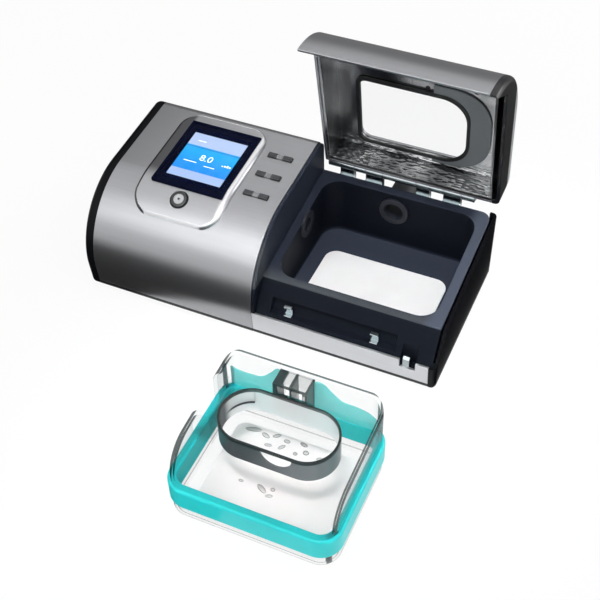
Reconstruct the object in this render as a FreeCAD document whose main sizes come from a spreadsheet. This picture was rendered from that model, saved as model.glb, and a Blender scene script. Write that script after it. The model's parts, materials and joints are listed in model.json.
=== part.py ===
"""A bedside CPAP machine with a heated humidifier, as a parametric FreeCAD document.

Frame: millimetres, +Z up, +X to the right, +Y to the back.  The origin is on the table,
under the middle of the housing.  The lid stands open and the water chamber stands on the
table in front of its well.  One D-shaped section runs the whole length of the machine:
every casing is that section, moved inward or outward by the thickness it needs.
"""
import FreeCAD, Part
import math
import os

import Sketcher
from FreeCAD import Placement, Rotation, Vector

doc = FreeCAD.newDocument("cpap_machine")

# ---------------------------------------------------------------- driving dimensions
DIMENSIONS = (
    # housing
    ("end_left", -145.0), ("end_right", 145.0), ("cap_width", 9.0), ("foot_height", 3.0),
    ("nose_front", -66.5), ("nose_radius", 61.2), ("nose_height", 27.0), ("top_slope", 4.0),
    ("back_face", 68.0), ("back_round", 8.0), ("toe_angle", 6.0), ("wall", 2.4),
    ("split", -1.0), ("divider", 3.0), ("joint_gap", 0.6),
    # humidifier well
    ("tub_right", 141.0), ("tub_back", 66.0), ("strip_top", 24.8),
    ("rim_front", -48.5), ("rim_height", 50.0), ("rim_slope", 7.0),
    ("well_left", 8.5), ("well_right", 133.5), ("well_front", -43.5), ("well_back", 59.5),
    ("well_floor", 12.0), ("well_round", 15.0), ("plate_thick", 1.5),
    # lid and hinge
    ("hinge_back", 72.2), ("hinge_height", 69.5), ("barrel_radius", 3.5), ("pin_radius", 1.5),
    ("open_angle", 86.0), ("lid_left", 3.0), ("lid_right", 139.0), ("liner_inset", 4.2),
    ("window_left", 24.0), ("window_right", 112.0), ("window_front", -8.0), ("window_back", 56.5),
    # display and buttons
    ("deck_left", -111.5), ("deck_right", -37.0), ("deck_front", -45.5), ("deck_back", 57.0),
    ("deck_raise", 3.0), ("deck_round", 16.0), ("deck_edge", 2.8),
    ("bezel_left", -101.5), ("bezel_right", -42.0), ("bezel_front", -14.0), ("bezel_back", 56.5),
    ("bezel_raise", 1.2), ("bezel_border", 6.0),
    ("dial_across", -73.5), ("dial_angle", 24.8), ("dial_radius", 6.4), ("dial_raise", 1.6),
    ("key_across", -21.0), ("key_length", 20.0), ("key_width", 4.4), ("key_raise", 1.4),
    ("key_first", 1.0), ("key_pitch", 22.0),
    # water chamber, standing in front of the well
    ("pot_across", 74.5), ("pot_along", -182.0), ("ring_length", 123.5), ("ring_depth", 101.0),
    ("ring_round", 16.0), ("ring_width", 6.5), ("ring_bottom", 13.0), ("ring_top", 31.0),
    ("cover_top", 66.0), ("cover_nose", 30.0), ("cover_wall", 2.0), ("cover_slope", 4.0),
    ("baffle_across", 74.8), ("baffle_along", -178.4), ("baffle_length", 84.0),
    ("baffle_width", 43.0), ("baffle_drop", 20.0),
    # blower
    ("fan_across", -92.0), ("fan_along", 14.0), ("fan_radius", 26.0), ("volute_radius", 33.0),
    ("fan_floor", 12.0), ("fan_split", 31.0), ("fan_roof", 48.0), ("duct_radius", 8.6),
    ("port_along", 16.0), ("port_height", 50.0), ("hose_radius", 11.0),
)

sheet = doc.addObject("Spreadsheet::Sheet", "dims")


class Size:
    """A number together with the sheet expression that gives it."""

    def __init__(self, value, text):
        self.value = value
        self.text = text

    def __add__(self, other):
        other = as_size(other)
        return Size(self.value + other.value, f"({self.text} + {other.text})")

    def __sub__(self, other):
        other = as_size(other)
        return Size(self.value - other.value, f"({self.text} - {other.text})")

    def __mul__(self, other):
        other = as_size(other)
        return Size(self.value * other.value, f"({self.text} * {other.text})")

    def __truediv__(self, other):
        other = as_size(other)
        return Size(self.value / other.value, f"({self.text} / {other.text})")

    def __radd__(self, other):
        return as_size(other) + self

    def __rsub__(self, other):
        return as_size(other) - self

    def __rmul__(self, other):
        return as_size(other) * self

    def __neg__(self):
        return Size(-self.value, f"(0 - {self.text})")


def as_size(number):
    if isinstance(number, Size):
        return number
    return Size(float(number), f"({float(number)!r})")


def sine(angle):
    return Size(math.sin(math.radians(angle.value)), f"sin({angle.text})")


def cosine(angle):
    return Size(math.cos(math.radians(angle.value)), f"cos({angle.text})")


def tangent(angle):
    return Size(math.tan(math.radians(angle.value)), f"tan({angle.text})")


class Dimensions:
    """Writes the driving dimensions into the sheet and hands them out as sizes."""

    def __init__(self, rows):
        for row, (name, value) in enumerate(rows, start=1):
            sheet.set(f"A{row}", name)
            sheet.set(f"B{row}", str(value))
            sheet.setAlias(f"B{row}", name)
            setattr(self, name, Size(value, f"dims.{name}"))


d = Dimensions(DIMENSIONS)
doc.recompute()

X_AXIS = Vector(1, 0, 0)
Y_AXIS = Vector(0, 1, 0)
Z_AXIS = Vector(0, 0, 1)
LEVEL = Rotation()


# ---------------------------------------------------------------- modelling helpers
def bind(item, prop, size):
    """Set a property through the sheet."""
    item.setExpression(prop, as_size(size).text)


def place(item, x, y, z, rotation=LEVEL):
    item.Placement = Placement(Vector(0, 0, 0), rotation)
    for axis, size in zip("xyz", (x, y, z)):
        bind(item, f"Placement.Base.{axis}", size)
    return item


def block(name, x, y, z):
    """A box between two corners, each axis given as (low, high)."""
    item = doc.addObject("Part::Box", name)
    for prop, (low, high) in zip(("Length", "Width", "Height"), (x, y, z)):
        bind(item, prop, as_size(high) - low)
    return place(item, x[0], y[0], z[0])


def rod(name, radius, start, length, axis=Z_AXIS):
    """A cylinder that starts at a point and runs along an axis."""
    item = doc.addObject("Part::Cylinder", name)
    bind(item, "Radius", radius)
    bind(item, "Height", length)
    return place(item, *start, Rotation(Z_AXIS, axis))


def taper(name, radius_start, radius_end, start, length, axis=Z_AXIS):
    item = doc.addObject("Part::Cone", name)
    bind(item, "Radius1", radius_start)
    bind(item, "Radius2", radius_end)
    bind(item, "Height", length)
    return place(item, *start, Rotation(Z_AXIS, axis))


def join(name, *shapes):
    item = doc.addObject("Part::MultiFuse", name)
    item.Shapes = list(shapes)
    return item


def cut(name, base, *tools):
    item = doc.addObject("Part::Cut", name)
    item.Base = base
    item.Tool = tools[0] if len(tools) == 1 else join(f"{name}_tools", *tools)
    return item


def overlap(name, first, second):
    item = doc.addObject("Part::Common", name)
    item.Base = first
    item.Tool = second
    return item


def group(name, *shapes):
    """Separate solids that share one node."""
    item = doc.addObject("Part::Compound", name)
    item.Links = list(shapes)
    return item


def tilted(item, x, along, lift, angle):
    """Place an item in a frame turned about the nose centre: along the skin, and out of it."""
    turn = sine(angle)
    flat = cosine(angle)
    y = nose_along + along * flat - lift * turn
    z = d.nose_height + along * turn + lift * flat
    place(item, x, y, z, Rotation(X_AXIS, angle.value))
    bind(item, "Placement.Rotation.Angle", angle)
    return item


def deck_block(name, x, along, lift):
    """A box in the frame of the sloping top: lift 0 is the housing's own top face."""
    item = block(name, x, along, lift)
    return tilted(item, x[0], as_size(along[0]), d.nose_radius + lift[0], d.top_slope)


class Outline:
    """A closed sketch on an origin plane of its own body; every point is bound to the sheet."""

    def __init__(self, name, plane):
        self.body = doc.addObject("PartDesign::Body", name)
        self.sketch = self.body.newObject("Sketcher::SketchObject", f"{name}_sketch")
        planes = self.body.Origin.OriginFeatures
        support = next(item for item in planes if item.Role == f"{plane}_Plane")
        self.sketch.AttachmentSupport = [(support, "")]
        self.sketch.MapMode = "FlatFace"

    def constrain(self, kind, where, size):
        index = self.sketch.addConstraint(Sketcher.Constraint(kind, *where, size.value))
        self.sketch.setExpression(f"Constraints[{index}]", size.text)

    def pin(self, edge, end, u=None, v=None):
        """Hold one end (1 or 2) or the centre (3) of an edge at a distance from the origin."""
        if u is not None:
            self.constrain("DistanceX", (-1, 1, edge, end), as_size(u))
        if v is not None:
            self.constrain("DistanceY", (-1, 1, edge, end), as_size(v))

    def line(self, start, end):
        points = [Vector(as_size(u).value, as_size(v).value, 0) for u, v in (start, end)]
        return self.sketch.addGeometry(Part.LineSegment(*points), False)

    def arc(self, centre, radius, first, last):
        middle = Vector(as_size(centre[0]).value, as_size(centre[1]).value, 0)
        circle = Part.Circle(middle, Z_AXIS, as_size(radius).value)
        start, end = math.radians(first), math.radians(last)
        edge = self.sketch.addGeometry(Part.ArcOfCircle(circle, start, end), False)
        self.pin(edge, 3, *centre)
        self.constrain("Radius", (edge,), as_size(radius))
        return edge

    def circle(self, centre, radius):
        middle = Vector(as_size(centre[0]).value, as_size(centre[1]).value, 0)
        edge = self.sketch.addGeometry(Part.Circle(middle, Z_AXIS, as_size(radius).value), False)
        self.pin(edge, 3, *centre)
        self.constrain("Radius", (edge,), as_size(radius))
        return self

    def link(self, first, second):
        self.sketch.addConstraint(Sketcher.Constraint("Coincident", first, 2, second, 1))

    def polygon(self, points):
        count = len(points)
        for index, point in enumerate(points):
            self.line(point, points[(index + 1) % count])
        for index, (u, v) in enumerate(points):
            self.link(index, (index + 1) % count)
            self.pin(index, 1, u, v)
        return self

    def pad(self, start, end):
        """Pad along the plane's normal, from start to end; returns the body."""
        bind(self.sketch, "AttachmentOffset.Base.z", start)
        feature = self.body.newObject("PartDesign::Pad", f"{self.body.Name}_pad")
        feature.Profile = self.sketch
        bind(feature, "Length", as_size(end) - start)
        return self.body


def rounded(body, radius, wanted):
    """Fillet the edges of the body's last feature whose every vertex satisfies a test."""
    doc.recompute()
    base = body.Tip
    names = []
    for index, edge in enumerate(base.Shape.Edges, start=1):
        if all(wanted(vertex.Point) for vertex in edge.Vertexes):
            names.append(f"Edge{index}")
    fillet = body.newObject("PartDesign::Fillet", f"{body.Name}_round{len(body.Group)}")
    fillet.Base = (base, names)
    bind(fillet, "Radius", radius)
    body.Tip = fillet
    return body


def dressed(name, base, radius, wanted):
    """A body that takes a finished solid and rounds the edges that satisfy a test."""
    body = doc.addObject("PartDesign::Body", name)
    body.BaseFeature = base
    return rounded(body, radius, wanted)


def near(number, size):
    return abs(number - as_size(size).value) < 0.01


def plan(name, x, y, z, radius=0.0):
    """A rectangular pad in plan between two corners, with its upright edges rounded."""
    low_x, high_x = as_size(x[0]), as_size(x[1])
    low_y, high_y = as_size(y[0]), as_size(y[1])
    corners = [(low_x, low_y), (high_x, low_y), (high_x, high_y), (low_x, high_y)]
    body = Outline(name, "XY").polygon(corners).pad(z[0], z[1])
    if as_size(radius).value > 0:
        body_low, body_high = as_size(z[0]).value, as_size(z[1]).value
        doc.recompute()
        base = body.Tip
        names = [
            f"Edge{index}"
            for index, edge in enumerate(base.Shape.Edges, start=1)
            if abs(edge.BoundBox.ZLength - (body_high - body_low)) < 0.01
        ]
        fillet = body.newObject("PartDesign::Fillet", f"{name}_corners")
        fillet.Base = (base, names)
        bind(fillet, "Radius", radius)
        body.Tip = fillet
    return body


# ---------------------------------------------------------------- the D-shaped section
nose_along = d.nose_front + d.nose_radius


def top_at(along, inset):
    """Height of the sloping top, moved inward by an inset."""
    rise = (along - nose_along + (d.nose_radius - inset) * sine(d.top_slope)) * tangent(d.top_slope)
    return d.nose_height + (d.nose_radius - inset) * cosine(d.top_slope) + rise


def toe_at(height, inset):
    """Where the front line below the nose meets a height, moved inward by an inset."""
    radius = d.nose_radius - inset
    drop = d.nose_height - radius * sine(d.toe_angle) - height
    return nose_along - radius * cosine(d.toe_angle) + drop * tangent(d.toe_angle)


def section(name, start, end, inset, floor, origin=None):
    """The D-shaped section from one end to the other, moved inward by an inset.

    Without an origin it is in the machine's frame; the lid's pieces take the hinge as origin.
    """
    inset = as_size(inset)
    off_y, off_z = origin or (as_size(0), as_size(0))
    radius = d.nose_radius - inset
    back = d.back_face - inset
    crest = (nose_along - radius * sine(d.top_slope) - off_y,
             d.nose_height + radius * cosine(d.top_slope) - off_z)
    toe = (toe_at(floor, inset) - off_y, floor - off_z)
    heel = (back - off_y, floor - off_z)
    shoulder = (back - off_y, top_at(back, inset) - off_z)
    tip = (nose_along - radius * cosine(d.toe_angle) - off_y,
           d.nose_height - radius * sine(d.toe_angle) - off_z)
    centre = (nose_along - off_y, d.nose_height - off_z)
    outline = Outline(name, "YZ")
    floor_line = outline.line(toe, heel)
    back_line = outline.line(heel, shoulder)
    top_line = outline.line(shoulder, crest)
    nose = outline.arc(centre, radius, 90.0 + d.top_slope.value, 180.0 + d.toe_angle.value)
    toe_line = outline.line(tip, toe)
    edges = (floor_line, back_line, top_line, nose, toe_line)
    for first, second in zip(edges, edges[1:] + edges[:1]):
        outline.link(first, second)
    outline.pin(floor_line, 1, *toe)
    outline.pin(back_line, 1, *heel)
    outline.pin(top_line, 1, *shoulder)
    outline.pin(top_line, 2, u=crest[0])
    outline.pin(nose, 2, v=tip[1])
    body = outline.pad(start, end)
    return rounded(
        body,
        d.back_round - inset,
        lambda point: near(point.y, shoulder[0]) and near(point.z, shoulder[1]),
    )


def rim_at(along, gap=0.0):
    """Height of the well's sloping rim, with a gap above it."""
    return d.rim_height + (along - d.rim_front) * tangent(d.rim_slope) + gap


table = as_size(0.0)
pan_top = d.foot_height + d.wall
silver_left = d.end_left + d.cap_width
tub_left = d.split + d.divider
hinge = (d.hinge_back, d.hinge_height)
pieces = []


def piece(item, label):
    """Register a finished sub-part under the name of its node."""
    item.Label = label
    pieces.append(item)
    return item


# ---------------------------------------------------------------- base
BOSS_PLACES = ((-108.0, -46.0), (-108.0, 52.0), (-14.0, -46.0), (-14.0, 52.0))
FOOT_PLACES = ((-126.0, -48.0), (-126.0, 54.0), (0.0, 0.0), (128.0, -48.0), (128.0, 54.0))
BOSS_RADIUS = 4.0
BOSS_TOP = 18.0
SCREW_RADIUS = 1.4
HEAD_RADIUS = 3.0
HEAD_DEPTH = 1.6
FOOT_RADIUS = 7.0


def base_pan():
    left = silver_left + d.wall + 0.3
    front = toe_at(d.foot_height, d.wall + 0.3)
    back = d.back_face - d.wall - 0.3
    right = d.tub_right - 0.2
    tray = plan("pan_outer", (left, right), (front, back), (d.foot_height, 10.0), 3.0)
    inside = plan("pan_inner", (left + 2, tub_left - 3), (front + 2, back - 2), (pan_top, 11.0), 2.0)
    under_well = block("pan_under_well", (d.split - 0.3, right + 1), (front - 1, back + 1), (pan_top, 11.0))
    bosses = [
        rod(f"pan_boss_{index}", BOSS_RADIUS, (x, y, pan_top - 0.5), BOSS_TOP - pan_top + 0.5)
        for index, (x, y) in enumerate(BOSS_PLACES)
    ]
    ribs = [
        block(f"pan_rib_{index}", (x, x + 1.6), (-56.0, 60.0), (pan_top - 0.4, 8.0))
        for index, x in enumerate((-134.0 + 24.0 * step for step in range(1, 6)))
    ]
    solid = join("pan_solid", cut("pan_tray", tray, inside, under_well), *ribs, *bosses)
    holes = []
    for index, (x, y) in enumerate(BOSS_PLACES):
        holes.append(rod(f"pan_hole_{index}", SCREW_RADIUS + 0.1, (x, y, 0.0), BOSS_TOP + 1))
        holes.append(rod(f"pan_seat_{index}", HEAD_RADIUS + 0.3, (x, y, 0.0), d.foot_height + HEAD_DEPTH))
    return cut("base_pan", solid, *holes)


def base_screws():
    screws = []
    for index, (x, y) in enumerate(BOSS_PLACES):
        seat = d.foot_height + HEAD_DEPTH
        shank = rod(f"screw_shank_{index}", SCREW_RADIUS, (x, y, seat - 0.2), 10.0)
        head = rod(f"screw_head_{index}", HEAD_RADIUS, (x, y, seat - HEAD_DEPTH + 0.2), HEAD_DEPTH - 0.2)
        slot = block(f"screw_slot_{index}", (x - 2, x + 2), (y - 0.4, y + 0.4), (0.0, seat - 0.9))
        screws.append(cut(f"screw_{index}", join(f"screw_solid_{index}", shank, head), slot))
    return group("base_screws", *screws)


def rubber_feet():
    feet = [
        taper(f"foot_{index}", FOOT_RADIUS - 1.0, FOOT_RADIUS, (x, y, table), d.foot_height)
        for index, (x, y) in enumerate(FOOT_PLACES)
    ]
    return group("rubber_feet", *feet)


piece(base_pan(), "base_pan")
piece(base_screws(), "base_screws")
piece(rubber_feet(), "rubber_feet")

# ---------------------------------------------------------------- silver housing, left half
REAR_DOOR_X = (-131.0, -7.0)
REAR_DOOR_TOP = 80.0
KEY_NAMES = ("lower_button", "middle_button", "upper_button")


def key_span(index):
    """Along the slope, the middle of one slim button."""
    return d.key_first + d.key_pitch * index


def main_shell():
    outer = section("shell_outer", silver_left, d.split, 0.0, d.foot_height)
    inner = section("shell_inner", silver_left - 1, d.split + 1, d.wall, table)
    rear = block("shell_rear", REAR_DOOR_X, (55.0, 75.0), (table, REAR_DOOR_TOP))
    sunk = as_size(-20.0)
    above = as_size(20.0)
    screen = deck_block("shell_screen", (d.bezel_left + 3, d.bezel_right - 3),
                        (d.bezel_front + 3, d.bezel_back - 3), (sunk, above))
    dial = rod("shell_dial", d.dial_radius + 1.0, (0.0, 0.0, 0.0), 20.0)
    tilted(dial, d.dial_across, as_size(0), d.nose_radius - 10, d.dial_angle)
    slots = []
    for index in range(len(KEY_NAMES)):
        middle = key_span(index)
        half = d.key_width / 2 + 0.35
        slots.append(deck_block(
            f"shell_slot_{index}",
            (d.key_across - d.key_length / 2 - 0.35, d.key_across + d.key_length / 2 + 0.35),
            (middle - half, middle + half), (sunk, above)))
    return cut("main_shell", outer, inner, rear, screen, dial, *slots)


def min_size(first, second):
    return first if first.value < second.value else second


def max_size(first, second):
    return second if first.value < second.value else first


def end_cap(name, inner_face, outer_face, round_radius):
    """A hollow end cap; its outer rim is rounded over."""
    outer = section(f"{name}_outer", min_size(inner_face, outer_face),
                    max_size(inner_face, outer_face), 0.0, d.foot_height)
    outer = rounded(outer, round_radius, lambda point: near(point.x, outer_face))
    sign = 1.0 if outer_face.value < inner_face.value else -1.0
    cavity_outer = outer_face + d.wall * sign
    cavity_inner = inner_face + 1.0 * sign
    inner = section(f"{name}_inner", min_size(cavity_inner, cavity_outer),
                    max_size(cavity_inner, cavity_outer), d.wall + 2.0, d.foot_height + d.wall + 2.0)
    return outer, inner


def left_end_cap():
    outer, inner = end_cap("left_cap", silver_left, d.end_left, 5.0)
    return cut("left_end_cap", outer, inner)


def rear_panel():
    gap = 0.2
    panel = block("rear_plate", (REAR_DOOR_X[0] + gap, REAR_DOOR_X[1] - gap),
                  (d.back_face - d.wall, d.back_face), (d.foot_height, REAR_DOOR_TOP - gap))
    inlet = block("rear_inlet", (-124.0, -92.0), (60.0, 75.0), (24.0, 56.0))
    socket = rod("rear_socket", 5.3, (-24.0, 60.0, 20.0), 15.0, Y_AXIS)
    vents = [
        block(f"rear_vent_{index}", (-70.0, -40.0), (60.0, 75.0), (z, z + 2.5))
        for index, z in enumerate(44.0 + 5.0 * step for step in range(5))
    ]
    return cut("rear_panel", panel, inlet, socket, *vents)


def dividing_wall():
    plate = section("divider_plate", d.split + 0.1, tub_left - 0.1, d.joint_gap, pan_top + 0.1)
    port = rod("divider_port", d.duct_radius - 1.0, (-5.0, d.port_along, d.port_height), 12.0, X_AXIS)
    strip_seat = block("divider_strip_seat", (-5.0, 5.0), (-80.0, d.nose_front + d.wall + 0.2),
                       (table, d.strip_top + 0.1))
    toe_seat = block("divider_toe_seat", (-5.0, 5.0), (-80.0, toe_at(d.foot_height, d.wall)),
                     (table, d.strip_top + 0.1))
    return cut("dividing_wall", plate, port, strip_seat, toe_seat)


piece(main_shell(), "main_shell")
piece(left_end_cap(), "left_end_cap")
piece(rear_panel(), "rear_panel")
piece(dividing_wall(), "dividing_wall")


# ---------------------------------------------------------------- raised deck, display, buttons
def on_deck_rim(point):
    """True on the deck's raised skin, on its flat top or its curved front."""
    radius = d.nose_radius.value + d.deck_raise.value
    height = point.z - d.nose_height.value
    along = point.y - nose_along.value
    slope = math.radians(d.top_slope.value)
    across_slope = height * math.cos(slope) - along * math.sin(slope)
    past_crest = along * math.cos(slope) + height * math.sin(slope) > 0.01
    on_skin = across_slope if past_crest else math.hypot(along, height)
    return near(on_skin, radius)


def control_platform():
    """The raised U-shaped deck: the same section moved outward, cut to a rounded tongue."""
    slab = section("deck_slab", d.deck_left, d.deck_right, -d.deck_raise, as_size(30.0))
    core = section("deck_core", d.deck_left - 1, d.deck_right + 1, -0.05, as_size(20.0))
    tongue = plan("deck_tongue", (d.deck_left, d.deck_right), (d.deck_front, d.deck_back),
                  (60.0, 110.0), d.deck_round)
    raised = overlap("deck_raised", cut("deck_skin", slab, core), tongue)
    raised = dressed("deck_rounded", raised, d.deck_edge, on_deck_rim)
    screen = deck_block("deck_screen", (d.bezel_left - 0.2, d.bezel_right + 0.2),
                        (d.bezel_front - 0.2, d.bezel_back + 0.2), (as_size(-20), as_size(20)))
    dial = rod("deck_dial", d.dial_radius + 1.0, (0.0, 0.0, 0.0), 20.0)
    tilted(dial, d.dial_across, as_size(0), d.nose_radius - 10, d.dial_angle)
    return cut("control_platform", raised, screen, dial)


def display_bezel():
    frame = deck_block("bezel_frame", (d.bezel_left, d.bezel_right), (d.bezel_front, d.bezel_back),
                       (as_size(0.1), d.deck_raise + d.bezel_raise))
    opening = deck_block(
        "bezel_opening", (d.bezel_left + d.bezel_border, d.bezel_right - d.bezel_border),
        (d.bezel_front + d.bezel_border, d.bezel_back - d.bezel_border), (as_size(-5), as_size(10)))
    recess = deck_block(
        "bezel_recess", (d.bezel_left + 2, d.bezel_right - 2), (d.bezel_front + 2, d.bezel_back - 2),
        (d.deck_raise + d.bezel_raise - 1.2, as_size(10)))
    return cut("display_bezel", frame, opening, recess)


def display_lens():
    return deck_block("display_lens", (d.bezel_left + 2.1, d.bezel_right - 2.1),
                      (d.bezel_front + 2.1, d.bezel_back - 2.1),
                      (d.deck_raise + d.bezel_raise - 1.2, d.deck_raise + d.bezel_raise - 0.2))


def display_module():
    border = d.bezel_border + 0.3
    glass = deck_block("module_glass", (d.bezel_left + border, d.bezel_right - border),
                       (d.bezel_front + border, d.bezel_back - border),
                       (as_size(-3.0), d.deck_raise + d.bezel_raise - 1.3))
    back = deck_block("module_back", (d.bezel_left + 4, d.bezel_right - 4),
                      (d.bezel_front + 4, d.bezel_back - 4), (as_size(-6.0), as_size(-2.9)))
    return join("display_module", glass, back)


def switch_board():
    """The board under the deck that carries the display and the dome switches."""
    board = deck_block("switch_sheet", (d.bezel_left, -8.0), (-9.0, 62.0), (as_size(-8.0), as_size(-6.1)))
    domes = []
    for index in range(len(KEY_NAMES)):
        dome = rod(f"switch_dome_{index}", 2.2, (0.0, 0.0, 0.0), 2.4)
        tilted(dome, d.key_across, key_span(index), d.nose_radius - 6.3, d.top_slope)
        domes.append(dome)
    arm = block("switch_arm", (-84.0, -68.0), (-30.0, -15.5), (66.0, 67.6))
    post = rod("switch_post", 2.4, (0.0, 0.0, 0.0), 8.2)
    tilted(post, d.dial_across, as_size(0), d.nose_radius - 17.2, d.dial_angle)
    link = block("switch_link", (-80.0, -72.0), (-19.0, -15.5), (66.0, 80.5))
    return join("switch_board", board, *domes, arm, post, link)


def slim_button(index):
    """A slim key: a bar with a stem that reaches the dome switch."""
    name = KEY_NAMES[index]
    middle = key_span(index)
    half = d.key_width / 2
    bar = deck_block(f"{name}_bar",
                     (d.key_across - d.key_length / 2, d.key_across + d.key_length / 2),
                     (middle - half, middle + half), (as_size(-1.2), d.key_raise))
    flange = deck_block(f"{name}_flange",
                        (d.key_across - d.key_length / 2 + 2, d.key_across + d.key_length / 2 - 2),
                        (middle - half + 0.4, middle + half - 0.4), (as_size(-2.6), as_size(-1.1)))
    dip = deck_block(f"{name}_dip", (d.key_across - 2.2, d.key_across + 2.2),
                     (middle - half - 1, middle + half + 1), (d.key_raise - 0.5, d.key_raise + 1))
    return cut(name, join(f"{name}_solid", bar, flange), dip)


def power_button():
    cap = rod("dial_cap", d.dial_radius, (0.0, 0.0, 0.0), d.deck_raise + d.dial_raise + 3)
    tilted(cap, d.dial_across, as_size(0), d.nose_radius - 3, d.dial_angle)
    dish = rod("dial_dish", d.dial_radius - 2.0, (0.0, 0.0, 0.0), 2.0)
    tilted(dish, d.dial_across, as_size(0), d.nose_radius + d.deck_raise + d.dial_raise - 0.6, d.dial_angle)
    stem = rod("dial_stem", 2.0, (0.0, 0.0, 0.0), 5.0)
    tilted(stem, d.dial_across, as_size(0), d.nose_radius - 7.4, d.dial_angle)
    return cut("power_button", join("dial_solid", cap, stem), dish)


piece(control_platform(), "control_platform")
piece(display_bezel(), "display_bezel")
piece(display_lens(), "display_lens")
piece(display_module(), "display_module")
piece(switch_board(), "switch_board")
piece(power_button(), "power_button")
for number, button_name in enumerate(KEY_NAMES):
    piece(slim_button(number), button_name)


# ---------------------------------------------------------------- humidifier tub, right half
RECESS_X = (13.0, 112.0)
CATCH_PLACES = (27.0, 95.0)
NOTCH_X = (117.0, 129.0)
HOSE_ACROSS = 65.0
HOSE_HEIGHT = 47.0


def humidifier_tub():
    """The dark tub: a prism with a slanted front and a sloping rim, and a deep well."""
    toe = (toe_at(pan_top, d.wall), pan_top + 0.1)
    outline = [toe, (d.nose_front + d.wall + 0.2, d.strip_top), (d.rim_front, d.rim_height),
               (d.tub_back, rim_at(d.tub_back)), (d.tub_back, pan_top + 0.1)]
    solid = Outline("tub_outer", "YZ").polygon(outline).pad(tub_left, d.tub_right)
    rounded(solid, 8.0, lambda point: near(point.x, d.tub_right) and near(point.y, d.tub_back))
    well = plan("tub_well", (d.well_left, d.well_right), (d.well_front, d.well_back),
                (d.well_floor, 90.0), d.well_round)
    window = plan("tub_window", (27.0, 116.0), (-34.0, 26.0), (table, 20.0), 6.0)
    under = plan("tub_under", (tub_left + 3, d.tub_right - 4), (-58.0, 62.0), (table, 9.5), 6.0)
    recess = Outline("tub_recess", "YZ").polygon(
        [(-75.0, 27.0), (-57.0, 27.0), (-50.5, 38.0), (-75.0, 38.0)]).pad(*RECESS_X)
    notch = block("tub_notch", NOTCH_X, (-75.0, -58.0), (17.0, 40.0))
    port = rod("tub_port", d.duct_radius - 1.0, (0.0, d.port_along, d.port_height), 20.0, X_AXIS)
    outlet = rod("tub_outlet", 9.6, (HOSE_ACROSS, 50.0, HOSE_HEIGHT), 30.0, Y_AXIS)
    return cut("humidifier_tub", solid, well, window, under, recess, notch, port, outlet)


def base_trim():
    """The silver strip along the front of the tub, with a notch for the latch hook."""
    outline = [(toe_at(d.foot_height, 0.0), d.foot_height), (toe_at(d.foot_height, d.wall - 0.2), d.foot_height),
               (d.nose_front + d.wall - 0.1, d.strip_top), (d.nose_front + 0.1, d.strip_top)]
    strip = Outline("trim_outer", "YZ").polygon(outline).pad(d.split + 0.1, d.lid_right)
    notch = block("trim_notch", NOTCH_X, (-75.0, -58.0), (17.0, 40.0))
    return cut("base_trim", strip, notch)


def latch_hook():
    """A bent metal hook that stands in the notch of the strip."""
    outline = [(-64.8, 17.2), (-62.6, 17.2), (-62.6, 23.4), (-60.6, 25.2), (-60.6, 26.6),
               (-62.9, 26.6), (-64.8, 24.6)]
    return Outline("latch_hook", "YZ").polygon(outline).pad(119.0, 124.0)


def latch_catches():
    """Two spring clips in the recess of the front wall."""
    outline = [(-61.8, 27.1), (-57.2, 27.1), (-57.2, 34.0), (-58.2, 36.6), (-61.2, 36.6),
               (-61.2, 35.4), (-59.4, 35.0), (-58.6, 33.2), (-58.6, 28.6), (-61.8, 28.6)]
    clips = [
        Outline(f"catch_{index}", "YZ").polygon(outline).pad(x - 3.0, x + 3.0)
        for index, x in enumerate(CATCH_PLACES)
    ]
    return group("latch_catches", *clips)


def right_end_cap():
    """The cap that closes the base beyond the tub, below the rim."""
    outer, inner = end_cap("right_cap", d.lid_right + 0.1, d.end_right, 4.0)
    above = [(-90.0, d.strip_top), (d.nose_front + d.wall, d.strip_top), (d.rim_front, d.rim_height - 0.4),
             (d.back_face + 4, rim_at(d.back_face + 4) - 0.4), (d.back_face + 4, as_size(110.0)),
             (-90.0, 110.0)]
    open_air = Outline("right_cap_above", "YZ").polygon(above).pad(130.0, 150.0)
    seat = Outline("right_cap_seat", "YZ").polygon(
        [(-58.0, 0.0), (d.tub_back + 0.1, as_size(0.0)), (d.tub_back + 0.1, as_size(90.0)), (-58.0, 90.0)]
    ).pad(130.0, d.tub_right + 0.1)
    front_seat = block("right_cap_front", (130.0, d.tub_right + 0.1),
                       (d.nose_front + d.wall + 0.1, -57.0), (table, d.strip_top + 20))
    return cut("right_end_cap", outer, inner, open_air, seat, front_seat)


def heater_plate():
    flange = plan("plate_flange", (21.0, 122.0), (-40.0, 33.0),
                  (d.well_floor, d.well_floor + d.plate_thick), 10.0)
    boss = plan("plate_boss", (27.3, 115.7), (-33.7, 25.7), (d.well_floor - 1.5, d.well_floor + 0.5), 6.0)
    return join("heater_plate", flange, boss)


def heater_element():
    """A foil heater: a serpentine track bonded under the plate."""
    bars = [
        block(f"element_bar_{index}", (30.0, 113.0), (y, y + 5.0), (9.3, 10.4))
        for index, y in enumerate(-31.0 + 10.0 * step for step in range(6))
    ]
    turns = [
        block(f"element_turn_{index}", (x, x + 5.0), (y, y + 14.9), (9.3, 10.4))
        for index, (x, y) in enumerate((108.0 if step % 2 == 0 else 30.0, -31.0 + 10.0 * step) for step in range(5))
    ]
    return join("heater_element", *bars, *turns)


def heater_insulation():
    return plan("heater_insulation", (28.0, 115.0), (-33.0, 25.0), (pan_top + 0.1, 9.2), 4.0)


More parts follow.
